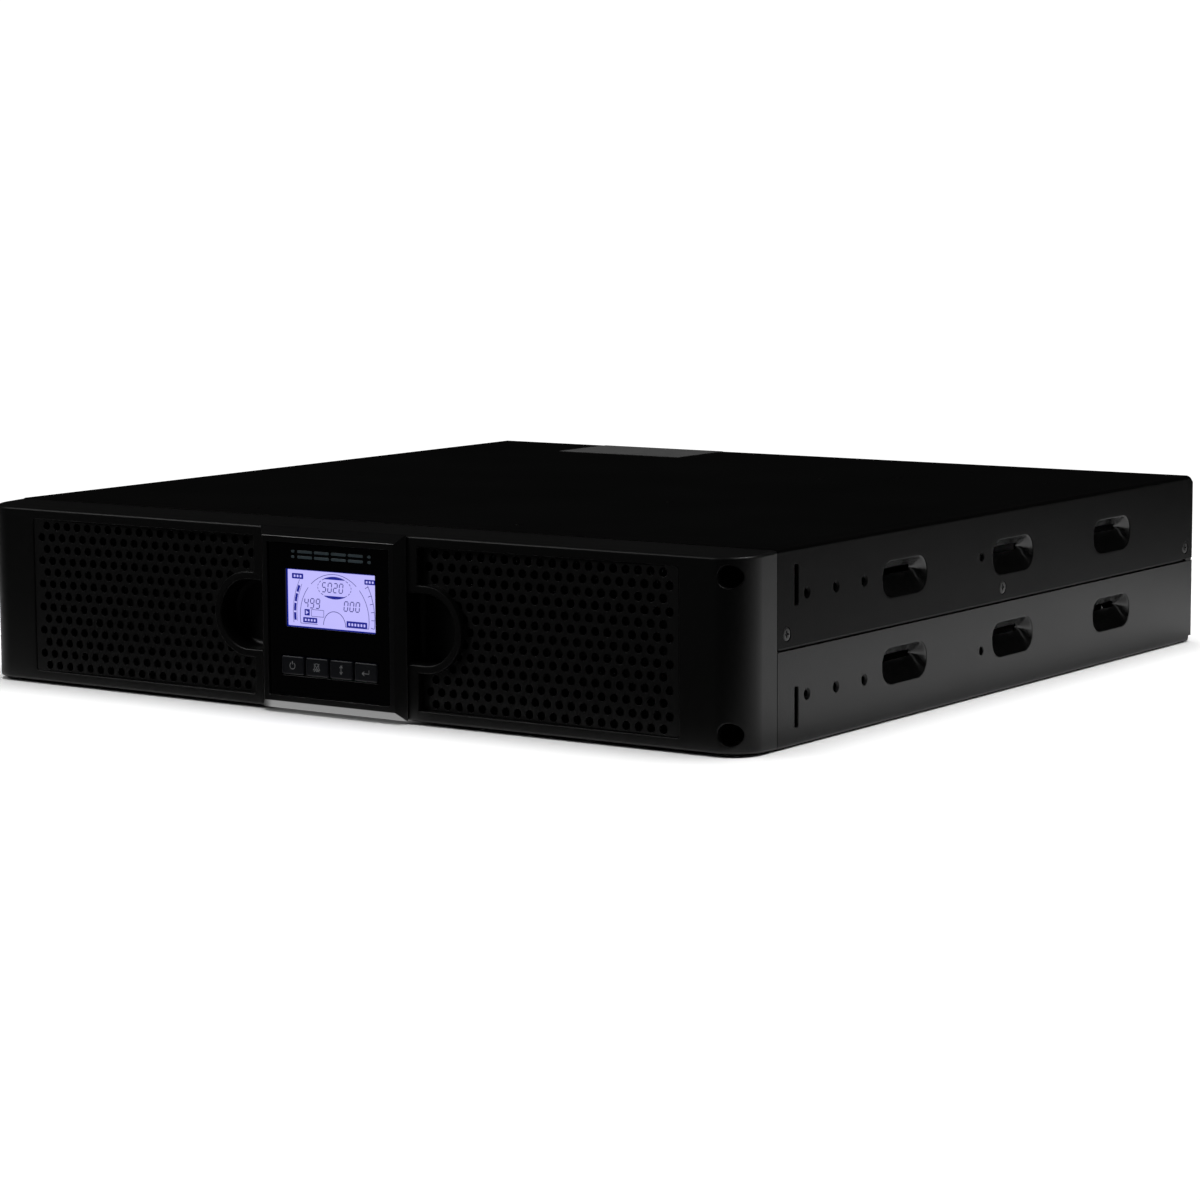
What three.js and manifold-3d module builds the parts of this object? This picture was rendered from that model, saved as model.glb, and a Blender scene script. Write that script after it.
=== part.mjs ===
// Uninterruptible power supply for a rack or a desk, two rack units high.
//
// Millimetres. +X is the right-hand side seen from the front, +Y runs from front to rear and +Z is up.
// While the pieces are made, y = 0 is the front edge of the steel body and z = 0 is the surface it stands
// on. The finished assembly is then moved along Y, so that its origin is the middle of its footprint.
//
// A steel base and lid hold a battery box on the left and the power stage on the right, with two fans and
// the sockets in the rear panel. A plastic bezel with two air grilles pulls off the front. It carries a
// square display that pulls forward and turns a quarter, for use lying down or standing on its side.

import * as THREE from "three";
import { mergeVertices } from "three/addons/utils/BufferGeometryUtils.js";
import Module from "manifold-3d";

const wasm = await Module();
wasm.setup();

// ---------------------------------------------------------------- driving dimensions

const BODY = { width: 438, height: 86.5, depth: 407, sheet: 1.2 };
const GAP = 0.3; // left between pieces that rest on each other
const HALF_W = BODY.width / 2;
const MID_Z = BODY.height / 2;

// Lid and base meet along the sides, over a lapping flange that the lid's screws bite into.
const SEAM = { z: 43, gap: 1.2 };
const LAP = { top: 52.6, bottom: 38, jogTop: 41, endInset: 3 };
const REAR_NOTCH = { base: 3, lidY: 4, lidZ: 3.5 };

// Pressed vents, slots and holes in the side walls. Heights are given for the base, then for the lid.
const VENT = {
  length: 41,
  height: 18.7,
  corner: 8,
  depth: 6,
  flare: 4,
  ys: [108.5, 211, 314.5],
  zs: [24.5, 63.6],
};
const SLIT = { length: 27, height: 3, rise: 3 };
const KEY_SLOT = { y: 15.5, width: 2.8, length: 17.5, zs: [17.1, 70.1] };
const EAR_HOLE = { ys: [24.2, 48.5, 72.8], zs: [21.7, 65.8], radius: 1.6, sink: 2.6, sinkDepth: 0.7 };
const RAIL_HOLE = { y: 180.3, radius: 1.8 };

const SCREW = { head: 2.9, headDepth: 1, shank: 1.4, length: 6, clear: 0.3, ys: [7.7, 201, 398.5], z: 49.4 };

// The display: a square frame with sloping sides on a round barrel that slides and turns in the bezel.
const DISPLAY = {
  base: BODY.height - 2.5,
  face: BODY.height - 10.5,
  opening: BODY.height - 15.9,
  rise: 4.6,
  standOff: GAP,
  glassSink: 1,
  back: 0.8,
};
const BARREL = { radius: DISPLAY.base / 2 - 5.5, wall: 4.5, rearY: -3, grooveDepth: 2, flange: 2 };
const BORE = BARREL.radius - BARREL.wall;
const GROOVE = BARREL.radius - BARREL.grooveDepth;
const RING = { width: 4, lug: 4, lugReach: 1.5 };
const TUBE = { radius: BARREL.radius + 0.5, wall: 1.8 };
const GLASS = { thickness: 1.2, windowW: 52, windowH: 26.6, windowUp: 10 };
const LCD = { width: 54, height: 29, thickness: 1, lampW: 46, lampH: 20, lampDepth: 3 };
const KEY = {
  width: 13,
  height: 8.4,
  pitch: 14.2,
  down: 21,
  proud: 0.7,
  thickness: 2.5,
  travel: 0.8,
  stem: 2,
};
const DISPLAY_BOARD = { thickness: 1.6, y: -24, switchHeight: 1 };

// The bezel, thinner in height at its face than where it meets the steel.
const BEZEL = {
  depth: 27.8,
  endDepth: 26.8,
  faceHeight: BODY.height - 2.9,
  wall: 2.5,
  corner: 15,
  edge: 0.4,
};
const ACCESS_HOLE = { x: HALF_W - 8.5, z: 33.6, radius: 5 };
const POST = { x: HALF_W - 8, width: 3, height: 10, zs: [-16, 17], reach: 8 };

// The air grilles lie in two windows, flush at the outer end and sunk at the inner end.
const WINDOW = {
  inner: DISPLAY.base / 2 + 5.5,
  outer: HALF_W - 32.5,
  height: BODY.height - 12.9,
  rim: 2,
  rimDepth: 7,
};
const GRILLE = { innerSink: 3.7, outerSink: 0.4, thickness: 2 };

// Finger pockets on both sides of the display.
const POCKET = { x: DISPLAY.base / 2 + 9.8, radius: 16, lip: 3.8, depth: 11.5, floor: 1.6 };

// Inner steelwork.
const FRONT_PANEL = { y: 4, margin: 3, edge: 0.3 };
const DOOR = { overlap: 1 };
const BATTERY = { length: 151, height: 94, thickness: 65, terminal: 3.5, terminalInset: 12 };
const BATTERY_BOX = {
  left: 12.5 - HALF_W,
  width: 2 * (BATTERY.height + BATTERY.terminal + 2.5),
  depth: 2 * (BATTERY.length + 8),
  height: BATTERY.thickness + 4,
  bottom: 3.6,
  wall: 1,
};
const DIVIDER = { x: HALF_W - 159, depth: BATTERY_BOX.depth, flange: 10, leadWay: 12 };

const LEAD = { radius: 1.4, lift: 6, z: 64 };

// Flush screws in the lid, in line with what they hold.
const TOP_SCREW_SPOTS = [
  [22 - HALF_W, 17.5],
  [-85.5, 19.3],
  [DIVIDER.x + 5.3, 24.2],
  [DIVIDER.x + 5.3, 148],
  [DIVIDER.x + 5.3, 289],
  [96.4, 314.6],
  [176.6, 324.5],
];

// Rear panel and what sits in it. Sizes of sockets are the usual ones for their kind.
const REAR_INSET = 1.5;
const FAN = {
  size: 80,
  depth: 25,
  bore: 38,
  hub: 16,
  blades: 7,
  blade: 36.4,
  corner: 4,
  xs: [HALF_W - 133, HALF_W - 51],
};
const GUARD = { wire: 1.6, rings: [14, 26, 38.5] };
const OUTLET = { count: 4, pitch: 31, height: 27, x: 116 - HALF_W, zs: [23.5, 63.5], depth: 20, flange: 2 };
const OUTLET_FACE = { width: 25.4, height: 17.4, chamfer: 5, groove: 2.2, grooveDepth: 15 };
const INLET = {
  x: 28 - HALF_W,
  z: 58,
  width: 48,
  height: 29,
  cavityW: 25.4,
  cavityH: 17.4,
  depth: 18,
  flange: 2,
  pinSink: 5,
};
const BREAKER = {
  x: 28 - HALF_W,
  z: 21,
  nut: 9,
  nutDepth: 4,
  button: 4,
  buttonProud: 1,
  body: 7.5,
  depth: 22,
};
const SERIAL = {
  x: HALF_W - 227,
  z: 16,
  width: 31,
  height: 12.5,
  shellW: 17,
  shellH: 8.4,
  proud: 5.5,
  depth: 10,
};
const USB = { x: HALF_W - 193, z: 16, width: 12, height: 11, depth: 15, wall: 1, proud: 0.6 };
const NET = { x: HALF_W - 225, z: 37, width: 32, height: 14, holeW: 11.8, holeH: 7.6, depth: 14, proud: 0.6 };
const EPO = { x: HALF_W - 191, z: 37, width: 14, height: 10, depth: 12, proud: 3 };
const SLOT_COVER = { x: HALF_W - 216, z: 65, width: 70, height: 30, corner: 3 };
const MAIN_BOARD = { x: DIVIDER.x + 12, y: 14, width: 138, depth: 348, pillar: 6, thickness: 1.6 };
const DECK_Z = BODY.sheet + MAIN_BOARD.pillar + MAIN_BOARD.thickness + 2 * GAP;
const REAR_Y = BODY.depth - REAR_INSET; // outer face of the rear panel
const REAR_INNER = REAR_Y - BODY.sheet - GAP; // where things behind the rear panel start

const FACE_Y = -BEZEL.depth;
const FRAME_BACK_Y = FACE_Y - DISPLAY.standOff;
const FRAME_FRONT_Y = FRAME_BACK_Y - DISPLAY.rise;
const GLASS_Y = FRAME_FRONT_Y + DISPLAY.glassSink;
const FOREMOST_Y = FRAME_FRONT_Y;
const REARMOST_Y = REAR_Y + SERIAL.proud;

// ---------------------------------------------------------------- materials

const paint = (color, roughness, metalness = 0) =>
  new THREE.MeshStandardMaterial({ color, roughness, metalness });
const MATERIALS = {
  blackSteel: paint(0x17181a, 0.55, 0.3),
  blackPlastic: paint(0x111213, 0.6),
  glossBlack: paint(0x050507, 0.08),
  keyRubber: paint(0x14161b, 0.45),
  screen: paint(0xb9b4ff, 0.3),
  circuit: paint(0x1d4a2c, 0.6),
  bareSteel: paint(0xa7a9ab, 0.35, 1),
  aluminium: paint(0xb8bbbe, 0.4, 1),
  copperWire: paint(0x9a5a2c, 0.45, 0.4),
  batteryCase: paint(0x2b2d31, 0.65),
  redCable: paint(0x8d1612, 0.5),
  blackCable: paint(0x0c0c0d, 0.5),
  capacitorSleeve: paint(0x20242c, 0.35),
  terminalGreen: paint(0x1f6b3a, 0.5),
  label: paint(0x8e9092, 0.5),
};

// ---------------------------------------------------------------- shape helpers

const ROUND = 24; // sides of a large circle
const SMALL_ROUND = 8; // sides of a small one

// A closed three.js geometry as a manifold-3d solid.
function solid(geometry) {
  const bare = geometry.index ? geometry.toNonIndexed() : geometry.clone();
  bare.deleteAttribute("normal");
  bare.deleteAttribute("uv");
  const merged = mergeVertices(bare, 1e-4);
  return new wasm.Manifold(
    new wasm.Mesh({
      numProp: 3,
      vertProperties: merged.attributes.position.array,
      triVerts: new Uint32Array(merged.index.array),
    }),
  );
}

function geometryOf(body) {
  const mesh = body.getMesh();
  const geometry = new THREE.BufferGeometry();
  geometry.setAttribute("position", new THREE.BufferAttribute(mesh.vertProperties, 3));
  geometry.setIndex(new THREE.BufferAttribute(mesh.triVerts, 1));
  const flat = geometry.toNonIndexed();
  flat.computeVertexNormals();
  return flat;
}

const join = (first, ...others) => others.reduce((a, b) => a.add(b), first);
const cut = (body, ...tools) => tools.reduce((a, b) => a.subtract(b), body);

// A box from its low and high corners.
function block([x0, y0, z0], [x1, y1, z1]) {
  const box = new THREE.BoxGeometry(x1 - x0, y1 - y0, z1 - z0);
  return solid(box.translate((x0 + x1) / 2, (y0 + y1) / 2, (z0 + z1) / 2));
}

// A box from its middle and size.
function blockAt([x, y, z], [w, d, h]) {
  return solid(new THREE.BoxGeometry(w, d, h).translate(x, y, z));
}

// A round bar or cone along Y, radius r0 at y0 and r1 at y1.
function rodY([x, z], y0, y1, r0, r1 = r0, sides = ROUND) {
  const bar = new THREE.CylinderGeometry(r1, r0, y1 - y0, sides);
  return solid(bar.translate(x, (y0 + y1) / 2, z));
}

// A round bar or cone along X.
function rodX([y, z], x0, x1, r0, r1 = r0, sides = SMALL_ROUND) {
  const bar = new THREE.CylinderGeometry(r1, r0, x1 - x0, sides).rotateZ(-Math.PI / 2);
  return solid(bar.translate((x0 + x1) / 2, y, z));
}

// A round bar or cone along Z.
function rodZ([x, y], z0, z1, r0, r1 = r0, sides = SMALL_ROUND) {
  const bar = new THREE.CylinderGeometry(r1, r0, z1 - z0, sides).rotateX(Math.PI / 2);
  return solid(bar.translate(x, y, (z0 + z1) / 2));
}

const extrude = (shape, depth, curveSegments = 6) =>
  new THREE.ExtrudeGeometry(shape, { depth, bevelEnabled: false, curveSegments });

// A shape drawn in X and Z, given thickness from y0 to y1.
function slabY(shape, y0, y1, curveSegments) {
  const slab = extrude(shape, y1 - y0, curveSegments).rotateX(Math.PI / 2);
  return solid(slab.translate(0, y1, 0));
}

// A shape drawn in X and Y, given thickness from z0 to z1.
function slabZ(shape, z0, z1, curveSegments) {
  return solid(extrude(shape, z1 - z0, curveSegments).translate(0, 0, z0));
}

// A rectangle with round corners about a middle point.
function roundedRect(cx, cy, w, h, r) {
  const [x, y] = [cx - w / 2, cy - h / 2];
  const shape = new THREE.Shape();
  shape.moveTo(x + r, y);
  shape.lineTo(x + w - r, y);
  shape.absarc(x + w - r, y + r, r, -Math.PI / 2, 0);
  shape.lineTo(x + w, y + h - r);
  shape.absarc(x + w - r, y + h - r, r, 0, Math.PI / 2);
  shape.lineTo(x + r, y + h);
  shape.absarc(x + r, y + h - r, r, Math.PI / 2, Math.PI);
  shape.lineTo(x, y + r);
  shape.absarc(x + r, y + r, r, Math.PI, 1.5 * Math.PI);
  return shape;
}

function polygon(points) {
  return new THREE.Shape(points.map(([x, y]) => new THREE.Vector2(x, y)));
}

const mirrorX = (body) => body.mirror([1, 0, 0]);
const mirrorZ = (body) => body.mirror([0, 0, 1]).translate([0, 0, BODY.height]);

// ---------------------------------------------------------------- side wall features

// A vent's dish: its mouth is a rounded rectangle in the wall, and its sides slope in to the floor.
// grow makes the mouth and the floor larger all round, and deeper.
function ventDish(y, z, grow) {
  const floor = roundedRect(
    0,
    0,
    VENT.length - 2 * VENT.flare,
    VENT.height - 2 * VENT.flare,
    VENT.corner - VENT.flare,
  );
  const dish = new THREE.ExtrudeGeometry(floor, {
    depth: 0.01,
    bevelThickness: VENT.depth + grow,
    bevelSize: VENT.flare + grow,
    bevelSegments: 1,
    curveSegments: 2,
  });
  // The bevelled block is as wide as the mouth in its middle plane, so half of it is the dish.
  const turned = new THREE.Matrix4().makeBasis(
    new THREE.Vector3(0, 1, 0),
    new THREE.Vector3(0, 0, 1),
    new THREE.Vector3(1, 0, 0),
  );
  return solid(dish.applyMatrix4(turned).translate(HALF_W, y, z));
}

const Level = { base: 0, lid: 1 };

// What a side wall of the base or of the lid loses and gains.
function wallFeatures(level) {
  const inner = HALF_W - BODY.sheet;
  const tools = [];
  const dishes = [];
  const ventZ = VENT.zs[level];
  for (const y of VENT.ys) {
    const keep = block([HALF_W - 20, y - 40, ventZ - 30], [HALF_W, y + 40, ventZ + 30]);
    dishes.push(ventDish(y, ventZ, BODY.sheet).intersect(keep));
    tools.push(ventDish(y, ventZ, 0));
    tools.push(blockAt([inner - VENT.depth, y, ventZ + SLIT.rise], [8, SLIT.length, SLIT.height]));
  }
  const holeZ = EAR_HOLE.zs[level];
  for (const y of EAR_HOLE.ys) {
    tools.push(rodX([y, holeZ], inner - 1, HALF_W + 1, EAR_HOLE.radius));
    const sinkX = HALF_W - EAR_HOLE.sinkDepth;
    tools.push(rodX([y, holeZ], sinkX, HALF_W + 0.01, EAR_HOLE.radius, EAR_HOLE.sink));
  }
  tools.push(rodX([RAIL_HOLE.y, holeZ], inner - 1, HALF_W + 1, RAIL_HOLE.radius));
  const { y, width, length, zs } = KEY_SLOT;
  tools.push(blockAt([HALF_W, y, zs[level]], [4, width, length]));
  return { tools, dishes };
}

// A wall with its vents and holes, and its mirror image on the other side.
function bothWalls(wall, level) {
  const { tools, dishes } = wallFeatures(level);
  const right = cut(join(wall, ...dishes), ...tools);
  return [right, mirrorX(right)];
}

// ---------------------------------------------------------------- steel body

function baseChassis() {
  const { sheet, depth } = BODY;
  const inner = HALF_W - sheet;
  const lapOut = inner - GAP;
  const lapEnd = depth - LAP.endInset - 2;
  const wall = join(
    block([inner, 0, 0], [HALF_W, depth, SEAM.z - SEAM.gap / 2]),
    block([lapOut - sheet, LAP.endInset, LAP.bottom], [lapOut, lapEnd, LAP.top]),
    block([lapOut - sheet, LAP.endInset, LAP.bottom], [inner + sheet / 2, lapEnd, LAP.jogTop]),
  );
  const threads = SCREW.ys.map((y) =>
    rodX([y, SCREW.z], lapOut - 2 * sheet, inner, SCREW.shank + GAP),
  );
  const floor = block([-HALF_W, 0, 0], [HALF_W, depth, sheet]);
  const notch = block(
    [-HALF_W - 1, depth - REAR_NOTCH.base, -1],
    [HALF_W + 1, depth + 1, REAR_NOTCH.base],
  );
  return cut(join(floor, ...bothWalls(cut(wall, ...threads), Level.base)), notch);
}

function topCover() {
  const { sheet, depth, height } = BODY;
  const inner = HALF_W - sheet;
  const wall = block([inner, 0, SEAM.z + SEAM.gap / 2], [HALF_W, depth, height]);
  const holes = SCREW.ys.flatMap((y) => [
    rodX([y, SCREW.z], inner - 1, HALF_W + 1, SCREW.shank + SCREW.clear),
    rodX(
      [y, SCREW.z],
      HALF_W - SCREW.headDepth,
      HALF_W + 0.01,
      SCREW.shank + SCREW.clear,
      SCREW.head + SCREW.clear,
    ),
  ]);
  const top = block([-HALF_W, 0, height - sheet], [HALF_W, depth, height]);
  const slope = polygon([
    [depth - REAR_NOTCH.lidY, height + 1],
    [depth - REAR_NOTCH.lidY, height],
    [depth, height - REAR_NOTCH.lidZ],
    [depth + 1, height - REAR_NOTCH.lidZ],
    [depth + 1, height + 1],
  ]);
  const turn = new THREE.Matrix4().makeBasis(
    new THREE.Vector3(0, 1, 0),
    new THREE.Vector3(0, 0, 1),
    new THREE.Vector3(1, 0, 0),
  );
  const bar = extrude(slope, BODY.width + 2).applyMatrix4(turn).translate(-HALF_W - 1, 0, 0);
  const shell = cut(join(top, ...bothWalls(cut(wall, ...holes), Level.lid)), solid(bar));
  const sinks = TOP_SCREW_SPOTS.map(([x, y]) =>
    rodZ([x, y], height - 0.7, height + 0.01, 1.6, 2.4, 6),
  );
  return cut(shell, ...sinks);
}

// A flat-headed screw lying along X, its head's face at x = 0 and its shank pointing to -X.
function coverScrew() {
  const { head, headDepth, shank, length } = SCREW;
  const body = join(
    rodX([0, 0], -headDepth, 0, shank, head),
    rodX([0, 0], -length, -headDepth + 0.1, shank, shank, 6),
  );
  const cross = [
    blockAt([0, 0, 0], [0.9, 3.2, 0.8]),
    blockAt([0, 0, 0], [0.9, 0.8, 3.2]),
  ];
  return cut(body, ...cross);
}

function frontPanel() {
  const { y, margin, edge } = FRONT_PANEL;
  const side = HALF_W - margin;
  const bottom = BODY.sheet + edge;
  const plate = block([-side, y, bottom], [side, y + BODY.sheet, BODY.height - bottom]);
  const box = BATTERY_BOX;
  const tools = [
    block(
      [box.left - GAP, y - 1, box.bottom - GAP],
      [box.left + box.width + GAP, y + 3, box.bottom + box.height + GAP],
    ),
    block([8, y - 1, MID_Z - 8], [30, y + 3, MID_Z + 8]),
  ];
  const vent = { cols: [147, 103, 59], width: 38, rows: 5, pitch: 14, height: 7 };
  for (const fromWall of vent.cols)
    for (let row = 0; row < vent.rows; row++) {
      const z = MID_Z + (row - (vent.rows - 1) / 2) * vent.pitch;
      tools.push(blockAt([HALF_W - fromWall, y, z], [vent.width, 6, vent.height]));
    }
  for (const x of [-POST.x, POST.x])
    for (const z of POST.zs)
      tools.push(blockAt([x, y, MID_Z + z], [POST.width + 1, 6, POST.height + 1]));
  return cut(plate, ...tools);
}

// The door over the battery box has a low pressed panel and two screw holes.
function batteryDoor() {
  const box = BATTERY_BOX;
  const left = box.left - DOOR.overlap;
  const right = box.left + box.width + DOOR.overlap;
  const back = FRONT_PANEL.y - GAP;
  const top = box.bottom + box.height + 4;
  const plate = block([left, back - BODY.sheet, box.bottom - 1], [right, back, top]);
  const holes = [left + 12, right - 12].map((x) =>
    rodY([x, top - 5], back - 3, back + 1, 2, 2, SMALL_ROUND),
  );
  return cut(plate, ...holes);
}

function batteryBox() {
  const { left, width, depth, bottom, height, wall } = BATTERY_BOX;
  const front = FRONT_PANEL.y;
  const outside = block([left, front, bottom], [left + width, front + depth, bottom + height]);
  const inside = block(
    [left + wall, front + wall, bottom + wall],
    [left + width - wall, front + depth - wall, bottom + height + 1],
  );
  return cut(outside, inside);
}

// One sealed lead-acid battery on its side, about its own middle, terminals towards +X.
function battery() {
  const { length, height, thickness, terminal, terminalInset } = BATTERY;
  const lid = 6;
  const x0 = -(height + terminal) / 2;
  const lidX = x0 + height - lid;
  const parts = [
    block([x0, -length / 2, -thickness / 2], [lidX, length / 2, thickness / 2]),
    block([lidX, -length / 2 + 1, -thickness / 2 + 1], [x0 + height, length / 2 - 1, thickness / 2 - 1]),
  ];
  for (const y of [-length / 2 + terminalInset, length / 2 - terminalInset])
    parts.push(block([x0 + height, y - 3, -4], [x0 + height + terminal, y + 3, 4]));
  return join(...parts);
}

// A wall between the batteries' side and the power stage, flanged at the floor and under the lid.
function bayDivider() {
  const { x, depth, flange, leadWay } = DIVIDER;
  const bottom = BODY.sheet + GAP;
  const top = BODY.height - bottom;
  const y0 = FRONT_PANEL.y + BODY.sheet + GAP;
  const wall = join(
    block([x, y0, bottom], [x + BODY.sheet, y0 + depth, top]),
    block([x, y0, bottom], [x + flange, y0 + depth, bottom + BODY.sheet]),
    block([x, y0, top - BODY.sheet], [x + flange, y0 + depth, top]),
  );
  const leadYs = [terminalY(0, 1), terminalY(1, -1)];
  const ways = leadYs.map((y) => blockAt([x, y, LEAD.z], [6, leadWay, leadWay]));
  return cut(wall, ...ways);
}

// ---------------------------------------------------------------- power stage

// A circuit board on four short pillars, low corner at the origin.
function pillarBoard(width, depth, thickness, pillar) {
  const board = block([0, 0, pillar], [width, depth, pillar + thickness]);
  const inset = 8;
  const feet = [inset, width - inset].flatMap((x) =>
    [inset, depth - inset].map((y) => rodZ([x, y], 0, pillar + 0.1, 3, 3, 8)),
  );
  return join(board, ...feet);
}

// A comb of upright fins, running along Y.
function heatsink(width, height, depth, fins) {
  const base = 6;
  const pitch = width / fins;
  const fin = 2;
  const points = [
    [0, 0],
    [width, 0],
  ];
  for (let i = fins - 1; i >= 0; i--) {
    const right = (i + 1) * pitch - (pitch - fin) * (i === fins - 1 ? 0 : 1);
    const left = right - fin;
    points.push([right, height], [left, height]);
    if (i > 0) points.push([left, base], [left - (pitch - fin), base]);
  }
  points.splice(points.length - 1, 1, [0, height]);
  return slabY(polygon(points), 0, depth);
}

// A wound ring standing on its edge, axis along Y, with its low point at z = 0.
function toroid(radius, tube) {
  const ring = new THREE.TorusGeometry(radius, tube, 6, 14).rotateX(Math.PI / 2);
  return solid(ring.translate(0, 0, radius + tube));
}

const canCapacitor = (radius, height) => rodZ([0, 0], 0, height, radius, radius, 16);

function transformer() {
  const core = block([-24, -8, 0], [24, 8, 40]);
  const coil = block([-14, -20, 7], [14, 20, 33]);
  return join(core, coil);
}

// An upright board with a few chips on its face, low corner at the origin.
function controlBoard() {
  const board = block([0, 0, 0], [1.6, 110, 58]);
  const chips = [
    block([-3, 14, 12], [0.1, 32, 30]),
    block([-3, 52, 20], [0.1, 66, 34]),
    block([-10, 84, 10], [0.1, 96, 46]),
  ];
  return join(board, ...chips);
}

// Where a battery's middle stands, by column from the left and row from the front.
function batterySpot(column, row) {
  const { left, width, depth, bottom, wall } = BATTERY_BOX;
  const x = left + width / 2 + ((column - 0.5) * (width - 2 * wall)) / 2;
  const y = FRONT_PANEL.y + depth / 2 + ((row - 0.5) * (depth - 2 * wall)) / 2;
  return [x, y, bottom + wall + GAP + BATTERY.thickness / 2];
}

// How far back a battery's front (-1) or rear (1) terminal is.
const terminalY = (row, end) =>
  batterySpot(0, row)[1] + end * (BATTERY.length / 2 - BATTERY.terminalInset);

// The first points of a lead that rises from a battery's front (-1) or rear (1) terminal.
function rise(column, row, end) {
  const [x, , z] = batterySpot(column, row);
  const endY = terminalY(row, end);
  const outX = x + (BATTERY.height - BATTERY.terminal) / 2 + LEAD.radius + GAP;
  const top = z + BATTERY.thickness / 2 + LEAD.lift;
  return [
    [outX, endY, z + 4 + GAP],
    [outX, endY, top - 4],
    [outX, endY, top],
  ];
}

// The route of a lead over the battery box's side, through the divider and down to the main board.
function toBoard(column, row, end) {
  const start = rise(column, row, end);
  const y = start[0][1];
  return [
    ...start,
    [DIVIDER.x - 40, y, LEAD.z + 4],
    [DIVIDER.x, y, LEAD.z],
    [MAIN_BOARD.x + 4.5, y, LEAD.z - 14],
    [MAIN_BOARD.x + 4.5, y, DECK_Z + 1],
  ];
}

// A lead laid along a smooth route through the given points.
function lead(points, radius = LEAD.radius) {
  const spots = points.map((p) => new THREE.Vector3(...p));
  const route = new THREE.CatmullRomCurve3(spots);
  const section = new THREE.Shape().absarc(0, 0, radius, 0, 2 * Math.PI);
  return solid(
    new THREE.ExtrudeGeometry(section, { steps: 16, extrudePath: route, curveSegments: 3 }),
  );
}

// ---------------------------------------------------------------- rear panel and sockets

// The outline of a mains connector: a rectangle with its two upper corners cut off.
function connectorOutline(cx, cz, w, h, chamfer) {
  const [l, r, b, t] = [cx - w / 2, cx + w / 2, cz - h / 2, cz + h / 2];
  return polygon([
    [l, b],
    [r, b],
    [r, t - chamfer],
    [r - chamfer, t],
    [l + chamfer, t],
    [l, t - chamfer],
  ]);
}

const bankWidth = OUTLET.count * OUTLET.pitch;

function rearPanel() {
  const side = HALF_W - FRONT_PANEL.margin;
  const bottom = BODY.sheet + GAP;
  const low = REAR_NOTCH.base + GAP;
  const plate = block(
    [-side, REAR_Y - BODY.sheet, Math.max(bottom, low)],
    [side, REAR_Y, BODY.height - REAR_NOTCH.lidZ - GAP],
  );
  const through = (x, z, w, h) => blockAt([x, REAR_Y, z], [w + 2 * GAP, 8, h + 2 * GAP]);
  const tools = [
    ...FAN.xs.map((x) => rodY([x, MID_Z], REAR_Y - 4, REAR_Y + 4, FAN.bore)),
    ...OUTLET.zs.map((z) => through(OUTLET.x, z, bankWidth - 3, OUTLET.height - 3)),
    through(INLET.x, INLET.z, INLET.cavityW + 3, INLET.cavityH + 3),
    rodY([BREAKER.x, BREAKER.z], REAR_Y - 4, REAR_Y + 4, BREAKER.body + GAP, BREAKER.body + GAP, 16),
    through(SERIAL.x, SERIAL.z, SERIAL.shellW, SERIAL.shellH),
    through(USB.x, USB.z, USB.width, USB.height),
    through(NET.x, NET.z, NET.width, NET.height),
    through(EPO.x, EPO.z, EPO.width, EPO.height),
    through(SLOT_COVER.x, SLOT_COVER.z, SLOT_COVER.width - 14, SLOT_COVER.height - 8),
  ];
  return cut(plate, ...tools);
}

// A fan's square frame, its middle at the origin, with the spider that carries the motor at its rear.
function fanFrame() {
  const { size, depth, bore, hub, corner } = FAN;
  const half = depth / 2;
  const square = slabY(roundedRect(0, 0, size, size, corner), -half, half, 3);
  const tunnel = rodY([0, 0], -half - 1, half + 1, bore);
  const spiderBack = half;
  const spiderFront = half - 2.5;
  const disc = rodY([0, 0], spiderFront, spiderBack, hub);
  const arms = [0, 1, 2].map((i) => {
    const arm = new THREE.BoxGeometry(bore + 1, 2.5, 4).translate((bore + 1) / 2, 0, 0);
    arm.rotateY((i * 2 * Math.PI) / 3 + Math.PI / 2);
    return solid(arm.translate(0, (spiderBack + spiderFront) / 2, 0));
  });
  const waist = [
    [1, 1],
    [1, -1],
    [-1, 1],
    [-1, -1],
  ].map(([sx, sz]) => rodY([sx * 35.75, sz * 35.75], -half - 1, half + 1, 2.2, 2.2, 8));
  return cut(join(cut(square, tunnel), disc, ...arms), ...waist);
}

// The rotor: a hub with pitched blades, its middle at the origin.
function fanRotor() {
  const { depth, hub, blades, blade } = FAN;
  const y0 = -depth / 2 + 2;
  const y1 = depth / 2 - 4;
  const pitch = 0.62;
  const core = rodY([0, 0], y0, y1, hub - 0.5);
  const vanes = Array.from({ length: blades }, (_, i) => {
    const long = (y1 - y0) / Math.cos(pitch) - 3;
    const vane = new THREE.BoxGeometry(blade - hub + 3, long, 1.6);
    vane.rotateX(pitch).translate((blade + hub) / 2 - 1.5, (y0 + y1) / 2, 0);
    return solid(vane.rotateY((i * 2 * Math.PI) / blades));
  });
  const sweep = rodY([0, 0], y0, y1, blade);
  return join(core, ...vanes).intersect(sweep);
}

// A wire guard, rings joined by a cross, lying on y = 0 and rising towards +Y.
function fanGuard() {
  const { wire, rings } = GUARD;
  const hoops = rings.map((r) =>
    cut(
      rodY([0, 0], 0, wire, r + wire / 2, r + wire / 2, 16),
      rodY([0, 0], -1, wire + 1, r - wire / 2, r - wire / 2, 16),
    ),
  );
  const reach = 50.5;
  const cross = [Math.PI / 4, -Math.PI / 4].map((turn) => {
    const bar = new THREE.BoxGeometry(2 * reach, wire, wire * 1.2).translate(0, wire / 2, 0);
    return solid(bar.rotateY(turn));
  });
  return join(...hoops, ...cross);
}

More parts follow.
